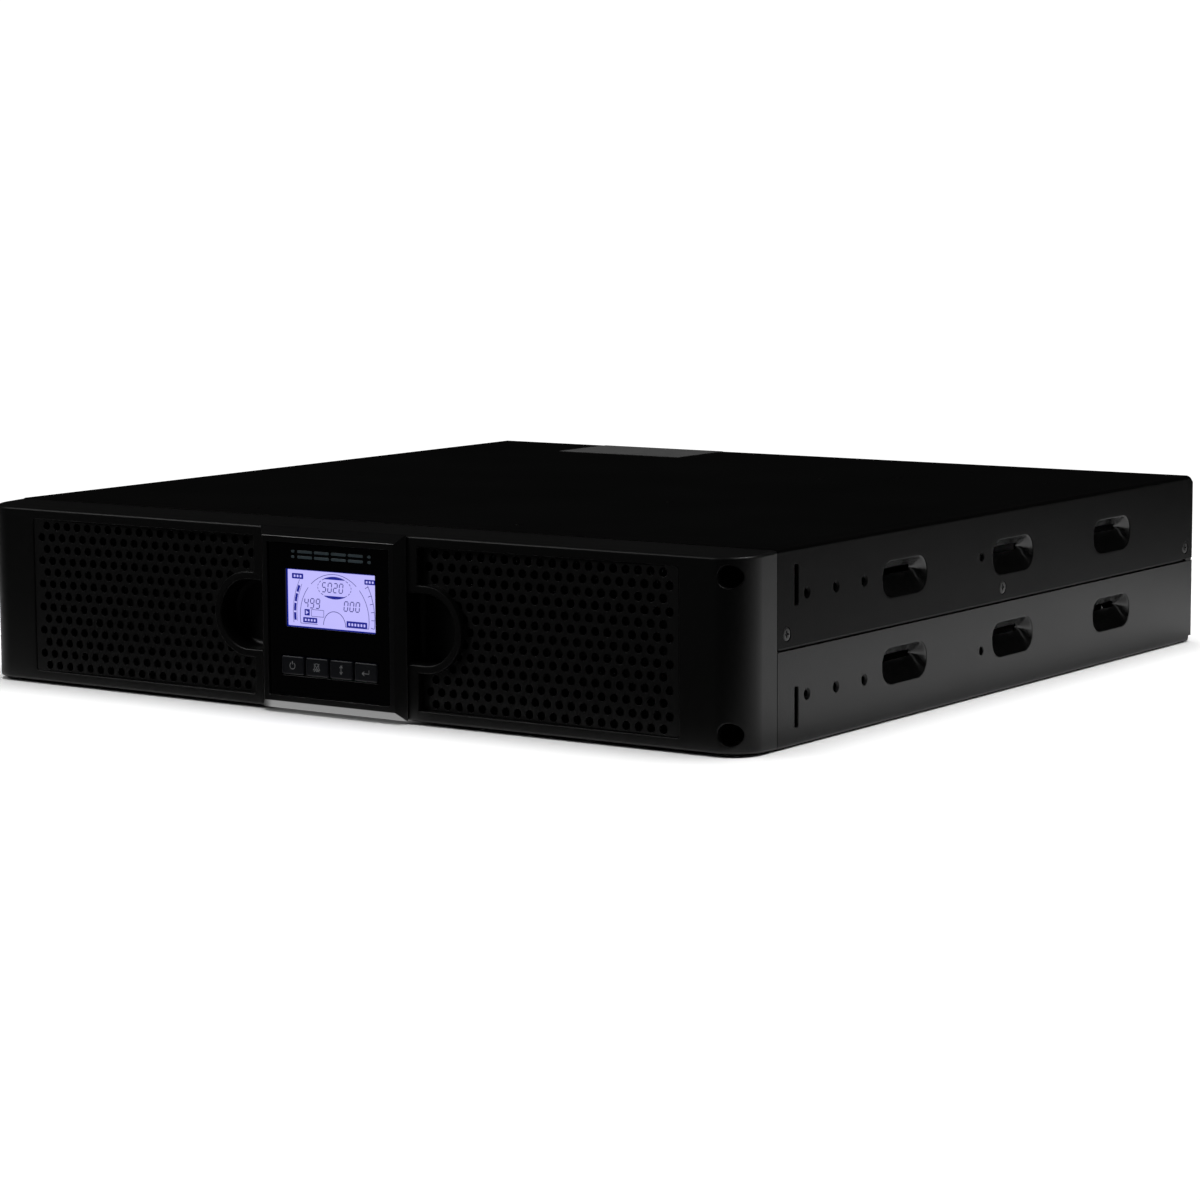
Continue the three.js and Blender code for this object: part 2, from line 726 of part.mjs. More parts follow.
// A row of mains outlets: each is an island with three slots, inside a groove for the plug's skirt.
function outletBank() {
  const { count, pitch, height, depth, flange } = OUTLET;
  const face = OUTLET_FACE;
  const front = REAR_Y + GAP;
  const body = join(
    slabY(roundedRect(0, 0, bankWidth, height, 2), front, front + flange, 2),
    blockAt([0, front - depth / 2 + 0.5, 0], [bankWidth - 3, depth + 1, height - 3]),
  );
  const tools = [];
  for (let i = 0; i < count; i++) {
    const x = (i - (count - 1) / 2) * pitch;
    const outer = connectorOutline(x, 0, face.width, face.height, face.chamfer);
    const inner = connectorOutline(
      x,
      0,
      face.width - 2 * face.groove,
      face.height - 2 * face.groove,
      face.chamfer - face.groove / 2,
    );
    const bottom = front + flange - face.grooveDepth;
    const top = front + flange + 1;
    tools.push(cut(slabY(outer, bottom, top), slabY(inner, bottom - 1, top + 1)));
    for (const [dx, dz] of [[-7, -1], [0, 2.5], [7, -1]])
      tools.push(blockAt([x + dx, top - 7, dz], [2.4, 12, 4.6]));
  }
  return cut(body, ...tools).translate([OUTLET.x, 0, 0]);
}

function acInlet() {
  const { width, height, cavityW, cavityH, depth, flange, pinSink } = INLET;
  const front = REAR_Y + GAP;
  const chamfer = OUTLET_FACE.chamfer;
  const outside = join(
    slabY(roundedRect(0, 0, width, height, 3), front, front + flange, 2),
    blockAt([0, front - depth / 2 - 1, 0], [cavityW + 3, depth + 3, cavityH + 3]),
  );
  const cavity = slabY(
    connectorOutline(0, 0, cavityW, cavityH, chamfer),
    front + flange - depth,
    front + flange + 1,
  );
  const floorY = front + flange - depth;
  const pins = [[-7, -2], [0, 2], [7, -2]].map(([x, z]) =>
    block([x - 1, floorY - 0.5, z - 2], [x + 1, front + flange - pinSink, z + 2]),
  );
  const shell = cut(outside, cavity);
  const holes = [-1, 1].map((s) => rodY([s * 20, 0], front - 1, front + flange + 1, 1.7, 1.7, 8));
  return join(cut(shell, ...holes), ...pins);
}

function breakerBody() {
  const { nut, nutDepth, button, body, depth } = BREAKER;
  const front = REAR_Y + GAP;
  const collar = rodY([0, 0], front, front + nutDepth, nut, nut, 6);
  const barrel = rodY([0, 0], front - depth, front + 0.1, body, body, 16);
  const well = rodY([0, 0], front - 6, front + nutDepth + 1, button + GAP, button + GAP, 16);
  return cut(join(collar, barrel), well);
}

// The breaker's reset button, its outer face at y = 0.
function breakerButton() {
  const { button, buttonProud, nutDepth } = BREAKER;
  const length = buttonProud + nutDepth + 5;
  return rodY([0, 0], -length, 0, button, button, 16);
}

function serialPort() {
  const { width, height, shellW, shellH, proud, depth } = SERIAL;
  const back = REAR_Y - BODY.sheet - GAP;
  const shell = polygon([
    [-shellW / 2, shellH / 2],
    [-shellW / 2 + 1.5, -shellH / 2],
    [shellW / 2 - 1.5, -shellH / 2],
    [shellW / 2, shellH / 2],
  ]);
  return join(
    blockAt([0, back - depth / 2, 0], [width, depth, height]),
    slabY(shell, back - 1, REAR_Y + proud),
  );
}

function usbPort() {
  const { width, height, depth, wall, proud } = USB;
  const front = REAR_Y + proud;
  const shell = blockAt([0, front - depth / 2, 0], [width, depth, height]);
  const cavity = blockAt([0, front - 5, 0], [width - 2 * wall, 12, height - 2 * wall]);
  const tongue = blockAt([0, front - 7, 0], [5.6, 9, 3.2]);
  return join(cut(shell, cavity), tongue);
}

function networkPorts() {
  const { width, height, holeW, holeH, depth, proud } = NET;
  const front = REAR_Y + proud;
  const shell = blockAt([0, front - depth / 2, 0], [width, depth, height]);
  const holes = [-width / 4, width / 4].flatMap((x) => [
    blockAt([x, front - 5, 0.5], [holeW, 12, holeH]),
    blockAt([x, front - 5, -holeH / 2], [5, 12, 4]),
  ]);
  return cut(shell, ...holes);
}

function epoTerminal() {
  const { width, height, depth, proud } = EPO;
  const front = REAR_Y + proud;
  const body = blockAt([0, front - depth / 2, 0], [width, depth, height]);
  const slots = [-width / 4, width / 4].map((x) => blockAt([x, front, -1], [3.6, 6, 4]));
  return cut(body, ...slots);
}

function slotCover() {
  const { width, height, corner } = SLOT_COVER;
  const y0 = REAR_Y + GAP;
  const plate = slabY(roundedRect(0, 0, width, height, corner), y0, y0 + BODY.sheet, 3);
  const holes = [-1, 1].map((s) =>
    rodY([s * (width / 2 - 5), 0], y0 - 1, y0 + 3, 1.8, 1.8, 10),
  );
  return cut(plate, ...holes);
}

// ---------------------------------------------------------------- bezel

// Where the bezel's face lies at a distance from the middle: it falls back a little towards the ends.
const faceSlope = (BEZEL.depth - BEZEL.endDepth) / (HALF_W - BEZEL.corner - WINDOW.inner);
const faceY = (x) => -BEZEL.depth + Math.max(0, Math.abs(x) - WINDOW.inner) * faceSlope;

// The bezel seen from above, drawn inwards by an inset.
function bezelPlan(inset, backY) {
  const r = BEZEL.corner - inset;
  const x = HALF_W - inset;
  const endY = -BEZEL.endDepth + inset;
  const shape = new THREE.Shape();
  shape.moveTo(-x, backY);
  shape.lineTo(-x, endY + r);
  shape.absarc(-x + r, endY + r, r, Math.PI, 1.5 * Math.PI);
  shape.lineTo(-WINDOW.inner, -BEZEL.depth + inset);
  shape.lineTo(WINDOW.inner, -BEZEL.depth + inset);
  shape.lineTo(x - r, endY);
  shape.absarc(x - r, endY + r, r, -Math.PI / 2, 0);
  shape.lineTo(x, backY);
  return shape;
}

// A wedge that takes the bezel's top down from the steel's height to the height of its face.
function topWedge() {
  const drop = (BODY.height - BEZEL.faceHeight) / 2;
  const wedge = polygon([
    [-BEZEL.depth - 1, BODY.height + 1],
    [-BEZEL.depth - 1, BODY.height - drop],
    [0, BODY.height - BEZEL.edge],
    [1, BODY.height - BEZEL.edge],
    [1, BODY.height + 1],
  ]);
  const turn = new THREE.Matrix4().makeBasis(
    new THREE.Vector3(0, 1, 0),
    new THREE.Vector3(0, 0, 1),
    new THREE.Vector3(1, 0, 0),
  );
  return solid(extrude(wedge, BODY.width + 2).applyMatrix4(turn).translate(-HALF_W - 1, 0, 0));
}

// The finger pocket's outline, a D lying open towards the display.
function pocketOutline(radius, innerX) {
  const shape = new THREE.Shape();
  shape.moveTo(innerX, MID_Z - radius);
  shape.lineTo(POCKET.x, MID_Z - radius);
  shape.absarc(POCKET.x, MID_Z, radius, -Math.PI / 2, Math.PI / 2);
  shape.lineTo(innerX, MID_Z + radius);
  return shape;
}

const windowBlock = (grow, y0, y1) =>
  block(
    [WINDOW.inner - grow, y0, MID_Z - WINDOW.height / 2 - grow],
    [WINDOW.outer + grow, y1, MID_Z + WINDOW.height / 2 + grow],
  );

function frontBezel() {
  const { wall, depth } = BEZEL;
  const shell = cut(
    slabZ(bezelPlan(0, -GAP), 0, BODY.height, 5),
    slabZ(bezelPlan(wall, 1), wall + 1.7, BODY.height - wall - 1.7, 5),
    topWedge(),
    mirrorZ(topWedge()),
  );
  const cup = POCKET.radius + POCKET.lip;
  const floorY = -depth + POCKET.depth;
  const rightRim = cut(
    windowBlock(WINDOW.rim, -depth + 1, -depth + WINDOW.rimDepth),
    slabY(pocketOutline(cup, 20), -depth, 0, 8),
  );
  const rightCup = slabY(pocketOutline(cup, 20), -depth + 1, floorY + POCKET.floor, 8);
  const rightOpening = cut(
    windowBlock(0, -depth - 1, -depth + WINDOW.rimDepth + 1),
    slabY(pocketOutline(cup, 20), -depth - 2, 0, 8),
  );
  const rightPocket = slabY(pocketOutline(POCKET.radius, 20), -depth - 1, floorY, 8);
  const tubeOuter = TUBE.radius + TUBE.wall;
  const tube = rodY([0, MID_Z], -depth + 1, BARREL.rearY, tubeOuter, tubeOuter, 32);
  const bore = rodY([0, MID_Z], -depth - 1, 1, TUBE.radius, TUBE.radius, 32);
  const clearTube = rodY([0, MID_Z], -depth + 1, BARREL.rearY + 1, tubeOuter, tubeOuter, 32);
  const lugWay = blockAt(
    [0, BARREL.rearY, MID_Z],
    [RING.lug + 1, 2 * (depth + BARREL.rearY - 2), 2 * (TUBE.radius + TUBE.wall + 1)],
  );
  const posts = [-POST.x, POST.x].flatMap((x) =>
    POST.zs.map((z) =>
      block(
        [x - POST.width / 2, -depth + 4, MID_Z + z - POST.height / 2],
        [x + POST.width / 2, POST.reach, MID_Z + z + POST.height / 2],
      ),
    ),
  );
  // The posts start inside the curved end wall, so what would stand out of it is trimmed away.
  const outside = slabZ(bezelPlan(0.5, 20), 0, BODY.height, 5);
  const pockets = [rightPocket, mirrorX(rightPocket)].map((p) => cut(p, clearTube));
  const made = join(
    shell,
    rightRim,
    mirrorX(rightRim),
    rightCup,
    mirrorX(rightCup),
    tube,
    ...posts.map((p) => p.intersect(outside)),
  );
  const { x: holeX, z: holeZ, radius: holeR } = ACCESS_HOLE;
  const access = [-holeZ, holeZ].map((z) => rodY([holeX, MID_Z + z], -depth - 1, -6, holeR, holeR, 16));
  return cut(made, rightOpening, mirrorX(rightOpening), ...pockets, bore, lugWay, ...access);
}

// The right-hand grille: a plate that fills its window round the finger pocket's lip.
function grille() {
  const { innerSink, outerSink, thickness } = GRILLE;
  const [inner, outer] = [WINDOW.inner + GAP, WINDOW.outer - GAP];
  const [yIn, yOut] = [faceY(inner) + innerSink, faceY(outer) + outerSink];
  const plan = polygon([
    [inner, yIn],
    [outer, yOut],
    [outer, yOut + thickness],
    [inner, yIn + thickness],
  ]);
  const half = WINDOW.height / 2 - GAP;
  const lip = slabY(pocketOutline(POCKET.radius + POCKET.lip + GAP, 20), -BEZEL.depth, 0, 8);
  return cut(slabZ(plan, MID_Z - half, MID_Z + half), lip);
}

// ---------------------------------------------------------------- display

// Made about the barrel's axis, so x and z are measured from the middle of the display.
const squareY = (size, y0, y1) => blockAt([0, (y0 + y1) / 2, 0], [size, y1 - y0, size]);

function displayFrame() {
  const { base, face, rise, opening, back } = DISPLAY;
  const frustum = new THREE.CylinderGeometry(
    base / Math.SQRT2,
    face / Math.SQRT2,
    rise,
    4,
  ).rotateY(Math.PI / 4);
  const front = solid(frustum.translate(0, FRAME_BACK_Y - rise / 2, 0));
  const { radius, rearY, flange } = BARREL;
  const barrel = rodY([0, 0], FRAME_BACK_Y - 0.5, rearY, radius, radius, 32);
  const ringWay = cut(
    rodY([0, 0], rearY - flange - RING.width - 2 * GAP, rearY - flange, radius + 1, radius + 1, 32),
    rodY([0, 0], rearY - 20, rearY + 1, GROOVE, GROOVE, 32),
  );
  const hollow = rodY([0, 0], FRAME_BACK_Y - 2, rearY + 1, BORE, BORE, 32);
  return cut(
    join(front, barrel),
    squareY(opening, FRAME_FRONT_Y - 1, FRAME_BACK_Y - back),
    ringWay,
    hollow,
  );
}

// The ring that slides in the bezel's tube, keyed by two lugs. The display turns inside it.
function slideRing() {
  const back = BARREL.rearY - BARREL.flange - GAP;
  const front = back - RING.width;
  const outer = BARREL.radius + 0.1;
  const ring = rodY([0, 0], front, back, outer, outer, 32);
  const lugs = blockAt([0, (front + back) / 2, 0], [RING.lug, RING.width, 2 * (outer + RING.lugReach)]);
  const hole = rodY([0, 0], front - 1, back + 1, GROOVE + GAP, GROOVE + GAP, 32);
  return cut(join(ring, lugs), hole);
}

const keyRowWidth = 3 * KEY.pitch + KEY.width;

function displayGlass() {
  const side = DISPLAY.opening - 2 * GAP;
  const sheet = squareY(side, GLASS_Y, GLASS_Y + GLASS.thickness);
  const pane = blockAt([0, GLASS_Y, GLASS.windowUp], [GLASS.windowW, 6, GLASS.windowH]);
  const keys = blockAt([0, GLASS_Y, -KEY.down], [keyRowWidth + 4 * GAP, 6, KEY.height + 4 * GAP]);
  return cut(sheet, pane, keys);
}

function lcdPanel() {
  const y0 = GLASS_Y + GLASS.thickness + GAP;
  const y1 = y0 + LCD.thickness;
  return join(
    blockAt([0, (y0 + y1) / 2, GLASS.windowUp], [LCD.width, LCD.thickness, LCD.height]),
    blockAt(
      [0, y1 + LCD.lampDepth / 2 - 0.1, GLASS.windowUp - 1],
      [LCD.lampW, LCD.lampDepth + 0.2, LCD.lampH],
    ),
  );
}

const keyX = (i) => (i - 1.5) * KEY.pitch;
// Each stem stands behind its key, drawn in as far as the barrel's bore needs at that height.
const stemZ = -KEY.down + 1.5;
const switchSide = 6;
const boreSpan = Math.sqrt((BORE - 1) ** 2 - (stemZ - switchSide / 2) ** 2) - switchSide / 2;
const stemX = (i) => keyX(i) * Math.min(1, boreSpan / keyX(3));

function displayBoard() {
  const { thickness, y, switchHeight } = DISPLAY_BOARD;
  const disc = rodY([0, 0], y, y + thickness, BORE - GAP, BORE - GAP, 24);
  const switches = [0, 1, 2, 3].map((i) =>
    blockAt(
      [stemX(i), y - switchHeight / 2 + 0.1, stemZ],
      [switchSide, switchHeight + 0.2, switchSide],
    ),
  );
  return join(disc, ...switches);
}

// A key with its stem, its face's middle at the origin.
function key(i) {
  const cap = slabY(roundedRect(0, 0, KEY.width, KEY.height, 0.8), 0, KEY.thickness, 2);
  const stemEnd = DISPLAY_BOARD.y - DISPLAY_BOARD.switchHeight - KEY.travel - GAP;
  const length = stemEnd - (GLASS_Y - KEY.proud);
  return join(cap, rodY([stemX(i) - keyX(i), stemZ + KEY.down], 1, length, KEY.stem, KEY.stem, 8));
}

// ---------------------------------------------------------------- assembly

function piece(parent, name, body, material, [x, y, z] = [0, 0, 0]) {
  const mesh = new THREE.Mesh(geometryOf(body), material);
  mesh.name = name;
  mesh.position.set(x, y, z);
  parent.add(mesh);
  return mesh;
}

function addSteelBody(group) {
  piece(group, "base_chassis", baseChassis(), MATERIALS.blackSteel);
  piece(group, "top_cover", topCover(), MATERIALS.blackSteel);
  piece(group, "front_panel", frontPanel(), MATERIALS.bareSteel);
  piece(group, "bay_divider", bayDivider(), MATERIALS.bareSteel);
  piece(group, "rear_panel", rearPanel(), MATERIALS.blackSteel);
  const screw = coverScrew();
  SCREW.ys.forEach((y, i) => {
    piece(group, `cover_screw_right_${i + 1}`, screw, MATERIALS.bareSteel, [HALF_W - 0.1, y, SCREW.z]);
    const mirrored = mirrorX(screw);
    piece(group, `cover_screw_left_${i + 1}`, mirrored, MATERIALS.bareSteel, [0.1 - HALF_W, y, SCREW.z]);
  });
  const label = block([72 - HALF_W, BODY.depth - 51, 0], [152 - HALF_W, BODY.depth - 5, 0.2]);
  piece(group, "rating_label", label, MATERIALS.label, [0, 0, BODY.height + 0.05]);
}

function addBatteries(group) {
  piece(group, "battery_door", batteryDoor(), MATERIALS.bareSteel);
  piece(group, "battery_box", batteryBox(), MATERIALS.bareSteel);
  const cell = battery();
  const spots = [
    [0, 0],
    [1, 0],
    [0, 1],
    [1, 1],
  ];
  spots.forEach(([column, row], i) => {
    piece(group, `battery_${i + 1}`, cell, MATERIALS.batteryCase, batterySpot(column, row));
  });
  const front = -1;
  const rear = 1;
  const over = lead([...rise(1, 0, front), ...rise(0, 0, front).reverse()]);
  piece(group, "battery_link_front", over, MATERIALS.blackCable);
  const along = lead([...rise(0, 0, rear), ...rise(0, 1, front).reverse()]);
  piece(group, "battery_link_middle", along, MATERIALS.blackCable);
  const back = lead([...rise(0, 1, rear), ...rise(1, 1, rear).reverse()]);
  piece(group, "battery_link_rear", back, MATERIALS.blackCable);
  piece(group, "battery_lead_black", lead(toBoard(1, 0, rear)), MATERIALS.blackCable);
  piece(group, "battery_lead_red", lead(toBoard(1, 1, front)), MATERIALS.redCable);
}

function addPowerStage(group) {
  const { x, y, width, depth, pillar, thickness } = MAIN_BOARD;
  const floor = BODY.sheet + GAP;
  const main = pillarBoard(width, depth, thickness, pillar);
  piece(group, "main_board", main, MATERIALS.circuit, [x, y, floor]);
  const sink = heatsink(40, 62, 170, 6);
  piece(group, "heatsink_inner", sink, MATERIALS.aluminium, [x + 8, 170, DECK_Z]);
  piece(group, "heatsink_outer", sink, MATERIALS.aluminium, [x + 80, 170, DECK_Z]);
  const can = canCapacitor(13, 50);
  piece(group, "bus_capacitor_1", can, MATERIALS.capacitorSleeve, [x + 64, 210, DECK_Z]);
  piece(group, "bus_capacitor_2", can, MATERIALS.capacitorSleeve, [x + 64, 270, DECK_Z]);
  piece(group, "charger_transformer", transformer(), MATERIALS.copperWire, [x + 50, 70, DECK_Z]);
  piece(group, "control_board", controlBoard(), MATERIALS.circuit, [x + 124, 40, DECK_Z + 2]);
  const betweenWalls = (BATTERY_BOX.left + BATTERY_BOX.width + DIVIDER.x) / 2;
  const coil = toroid(20, 9);
  piece(group, "boost_inductor", coil, MATERIALS.copperWire, [betweenWalls, 70, floor]);
  piece(group, "output_inductor", coil, MATERIALS.copperWire, [betweenWalls, 240, floor]);
}

function addRearPanelParts(group) {
  const fanMid = REAR_INNER - FAN.depth / 2;
  FAN.xs.forEach((x, i) => {
    const side = ["inner", "outer"][i];
    piece(group, `fan_frame_${side}`, fanFrame(), MATERIALS.blackPlastic, [x, fanMid, MID_Z]);
    piece(group, `fan_rotor_${side}`, fanRotor(), MATERIALS.blackPlastic, [x, fanMid, MID_Z]);
    piece(group, `fan_guard_${side}`, fanGuard(), MATERIALS.bareSteel, [x, REAR_Y + GAP, MID_Z]);
  });
  OUTLET.zs.forEach((z, i) => {
    const level = ["lower", "upper"][i];
    piece(group, `outlet_bank_${level}`, outletBank(), MATERIALS.blackPlastic, [0, 0, z]);
  });
  piece(group, "mains_inlet", acInlet(), MATERIALS.blackPlastic, [INLET.x, 0, INLET.z]);
  piece(group, "breaker", breakerBody(), MATERIALS.blackPlastic, [BREAKER.x, 0, BREAKER.z]);
  const buttonY = REAR_Y + GAP + BREAKER.nutDepth + BREAKER.buttonProud;
  piece(group, "breaker_button", breakerButton(), MATERIALS.blackPlastic, [BREAKER.x, buttonY, BREAKER.z]);
  piece(group, "serial_port", serialPort(), MATERIALS.bareSteel, [SERIAL.x, 0, SERIAL.z]);
  piece(group, "usb_port", usbPort(), MATERIALS.bareSteel, [USB.x, 0, USB.z]);
  piece(group, "network_ports", networkPorts(), MATERIALS.blackPlastic, [NET.x, 0, NET.z]);
  piece(group, "epo_terminal", epoTerminal(), MATERIALS.terminalGreen, [EPO.x, 0, EPO.z]);
  piece(group, "slot_cover", slotCover(), MATERIALS.blackSteel, [SLOT_COVER.x, 0, SLOT_COVER.z]);
}

function addBezel(group) {
  piece(group, "front_bezel", frontBezel(), MATERIALS.blackPlastic);
  const right = grille();
  piece(group, "grille_right", right, MATERIALS.blackPlastic);
  piece(group, "grille_left", mirrorX(right), MATERIALS.blackPlastic);
}

function addDisplay(group) {
  piece(group, "display_ring", slideRing(), MATERIALS.blackPlastic);
  piece(group, "display_frame", displayFrame(), MATERIALS.blackPlastic);
  piece(group, "display_glass", displayGlass(), MATERIALS.glossBlack);
  piece(group, "lcd_panel", lcdPanel(), MATERIALS.screen);
  piece(group, "display_board", displayBoard(), MATERIALS.circuit);
  ["power", "mute", "scroll", "enter"].forEach((use, i) => {
    const place = [keyX(i), GLASS_Y - KEY.proud, -KEY.down];
    piece(group, `button_${use}`, key(i), MATERIALS.keyRubber, place);
  });
}

const assembly = new THREE.Group();
assembly.position.y = -(FOREMOST_Y + REARMOST_Y) / 2;
addSteelBody(assembly);
addBatteries(assembly);
addPowerStage(assembly);
addRearPanelParts(assembly);
addBezel(assembly);

const display = new THREE.Group();
display.position.z = MID_Z;
addDisplay(display);
assembly.add(display);

const ups = new THREE.Group();
ups.add(assembly);

export default ups;
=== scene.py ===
"""The looks of a rack-mounted uninterruptible power supply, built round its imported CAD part.

Sizes are in millimetres in the unit's own coordinates: x runs to the right seen from the front, y runs
back from the front edge of the steel, and z runs up from the surface that the unit stands on.
"""

import logging
import math
from dataclasses import dataclass, field, replace
from enum import Enum, IntEnum
from typing import Callable, Optional, Sequence

import bmesh
import bpy
import numpy as np
from mathutils import Matrix, Vector
from mathutils.geometry import delaunay_2d_cdt


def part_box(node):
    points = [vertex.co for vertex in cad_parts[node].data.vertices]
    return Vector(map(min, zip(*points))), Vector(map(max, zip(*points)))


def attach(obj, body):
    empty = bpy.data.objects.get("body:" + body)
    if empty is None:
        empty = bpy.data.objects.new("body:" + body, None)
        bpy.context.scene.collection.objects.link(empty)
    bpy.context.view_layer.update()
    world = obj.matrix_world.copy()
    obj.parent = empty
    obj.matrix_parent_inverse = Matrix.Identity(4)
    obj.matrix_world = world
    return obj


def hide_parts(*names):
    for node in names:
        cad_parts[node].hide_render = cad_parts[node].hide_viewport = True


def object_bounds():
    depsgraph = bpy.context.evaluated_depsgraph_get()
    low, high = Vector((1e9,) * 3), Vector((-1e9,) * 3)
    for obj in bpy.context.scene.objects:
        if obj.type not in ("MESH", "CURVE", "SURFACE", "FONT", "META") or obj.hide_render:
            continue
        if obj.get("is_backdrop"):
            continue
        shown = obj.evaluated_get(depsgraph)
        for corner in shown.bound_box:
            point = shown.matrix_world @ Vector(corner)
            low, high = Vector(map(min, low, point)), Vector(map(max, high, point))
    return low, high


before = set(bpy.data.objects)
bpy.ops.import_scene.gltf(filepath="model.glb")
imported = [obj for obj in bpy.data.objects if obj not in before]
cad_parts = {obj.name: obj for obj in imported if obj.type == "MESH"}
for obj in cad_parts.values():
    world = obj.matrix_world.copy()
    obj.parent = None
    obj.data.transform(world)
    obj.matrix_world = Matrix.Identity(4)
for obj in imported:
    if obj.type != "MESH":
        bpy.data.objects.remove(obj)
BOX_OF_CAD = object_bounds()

LOG = logging.getLogger("ups")
MM = 0.001  # a millimetre in metres
HEIGHT = 86.5  # the steel body's height
MID_Z = HEIGHT / 2
HALF_W = 219.0  # half its width
DEPTH = 407.0  # its depth
RIGHT_ANGLE = math.pi / 2
TINY = 1e-12  # stands for the rise of a level side
FILL_MERGE = 1e-6  # points nearer than this are one in a fill, in millimetres
SEAM_MERGE = 2e-6  # points nearer than this are one in a mesh, in metres
SHORTEST = 1e-7  # edges shorter than this are dissolved, in metres

Array = np.ndarray
Place = Callable[[Array, Array, Array], Array]


# ------------------------------------------------------------------ outlines


@dataclass(frozen=True)
class Outline:
    """A closed curve in a plane, going round anticlockwise.

    Args:
        points: The curve's points, one row of two numbers each.
        normals: For each point the direction out of what the curve encloses.
    """

    points: Array
    normals: Array

    def grown(self, by: float) -> "Outline":
        """Returns the outline with every point moved out along its normal."""
        return Outline(self.points + self.normals * by, self.normals)

    def mirrored(self) -> "Outline":
        """Returns the outline mirrored left to right."""
        flip = np.array([-1.0, 1.0])
        return Outline(self.points[::-1] * flip, self.normals[::-1] * flip)


@dataclass(frozen=True)
class Arc:
    """An arc of an outline: it bulges out where its end is past its start, and is hollow otherwise."""

    u: float
    v: float
    radius: float
    start: float
    end: float


def through_arcs(arcs: Sequence[Arc], steps: int = 4) -> Outline:
    """Joins arcs by straight runs.

    Each arc's points are its centre plus the radius times (cos t, sin t), with t in even steps.

    Args:
        arcs: The arcs in order.
        steps: Steps to a right angle.

    Returns:
        The closed outline.
    """
    points, normals = [], []
    for arc in arcs:
        count = max(1, round(steps * abs(arc.end - arc.start) / 90)) + 1
        t = np.radians(np.linspace(arc.start, arc.end, count))
        ray = np.stack([np.cos(t), np.sin(t)], axis=1)
        points.append(np.array([arc.u, arc.v]) + arc.radius * ray)
        normals.append(ray * np.sign(arc.end - arc.start))
    return Outline(np.concatenate(points), np.concatenate(normals))


def circle(u: float, v: float, radius: float, sides: int = 24) -> Outline:
    """Makes a circle: its middle plus the radius times (cos t, sin t).

    Args:
        u: Its middle across.
        v: Its middle's height.
        radius: Its radius.
        sides: How many points it has.

    Returns:
        The outline.
    """
    t = np.arange(sides) * 2 * math.pi / sides
    ray = np.stack([np.cos(t), np.sin(t)], axis=1)
    return Outline(np.array([u, v]) + radius * ray, ray)


def rounded(u: float, v: float, width: float, height: float, corner: float, steps: int = 4) -> Outline:
    """Makes a rectangle with rounded corners.

    Args:
        u: Its middle across.
        v: Its middle's height.
        width: Its width.
        height: Its height.
        corner: The radius of its corners.
        steps: Steps to a corner.

    Returns:
        The outline.
    """
    a, b = width / 2 - corner, height / 2 - corner
    spots = [(a, b, 0), (-a, b, 90), (-a, -b, 180), (a, -b, 270)]
    return through_arcs([Arc(u + x, v + y, corner, t, t + 90) for x, y, t in spots], steps)


def polygon(corners: Sequence[Sequence[float]]) -> Outline:
    """Makes a sharp-cornered outline.

    Each corner's normal is the sum of its two sides' normals over one plus their dot product, so moving
    the corner by it moves both sides by the same distance.

    Args:
        corners: The corners, anticlockwise.

    Returns:
        The outline.
    """
    p = np.asarray(corners, dtype=float)
    run = np.roll(p, -1, axis=0) - p
    run /= np.linalg.norm(run, axis=1, keepdims=True)
    after = np.stack([run[:, 1], -run[:, 0]], axis=1)
    before = np.roll(after, 1, axis=0)
    share = 1 + (after * before).sum(axis=1, keepdims=True)
    return Outline(p, (after + before) / share)


def inside(points: Array, loops: Sequence[Array]) -> Array:
    """Tells which points lie inside an odd number of loops.

    A point is inside a loop when a ray from it to the right crosses the loop's sides an odd number of
    times.

    Args:
        points: The points to test, one row each.
        loops: Closed loops.

    Returns:
        One truth value for each point.
    """
    x, y = points[:, 0], points[:, 1]
    odd = np.zeros(len(points), dtype=bool)
    for loop in loops:
        low, high = loop.min(axis=0), loop.max(axis=0)
        near = (x <= high[0]) & (y >= low[1]) & (y <= high[1])
        a, b = loop, np.roll(loop, -1, axis=0)
        px, py = x[near, None], y[near, None]
        rise = np.where(b[:, 1] == a[:, 1], TINY, b[:, 1] - a[:, 1])
        crosses = ((a[:, 1] > py) != (b[:, 1] > py)) & (
            px < (b[:, 0] - a[:, 0]) * (py - a[:, 1]) / rise + a[:, 0]
        )
        odd[near] ^= crosses.sum(axis=1) % 2 == 1
    return odd


def round_over(radius: float, steps: int = 3) -> list[tuple[float, float]]:
    """Gives the profile of a rounded edge round a hole.

    With t from 0 to a right angle, the offset from the hole is r - r sin t and the depth r - r cos t.

    Args:
        radius: The edge's radius.
        steps: Steps along the arc.

    Returns:
        Pairs of offset and depth, from the face into the hole.
    """
    t = np.linspace(0, RIGHT_ANGLE, steps + 1)
    return [(radius * (1 - math.sin(a)), radius * (1 - math.cos(a))) for a in t]


# ------------------------------------------------------------------ surfaces


@dataclass(frozen=True)
class Plane:
    """A flat place: a point, two directions along it, and the direction into the material."""

    origin: tuple[float, float, float]
    along: tuple[float, float, float]
    up: tuple[float, float, float]
    inward: tuple[float, float, float]

    def __call__(self, u: Array, v: Array, depth: Array) -> Array:
        """Returns origin + u along + v up + depth inward."""
        parts = [(u, self.along), (v, self.up), (depth, self.inward)]
        return np.array(self.origin) + sum(np.multiply.outer(a, np.array(d)) for a, d in parts)


def front_plane(x: float, y: float, z: float) -> Plane:
    """Returns a plane facing the front, u to the right and v up."""
    return Plane((x, y, z), (1, 0, 0), (0, 0, 1), (0, 1, 0))


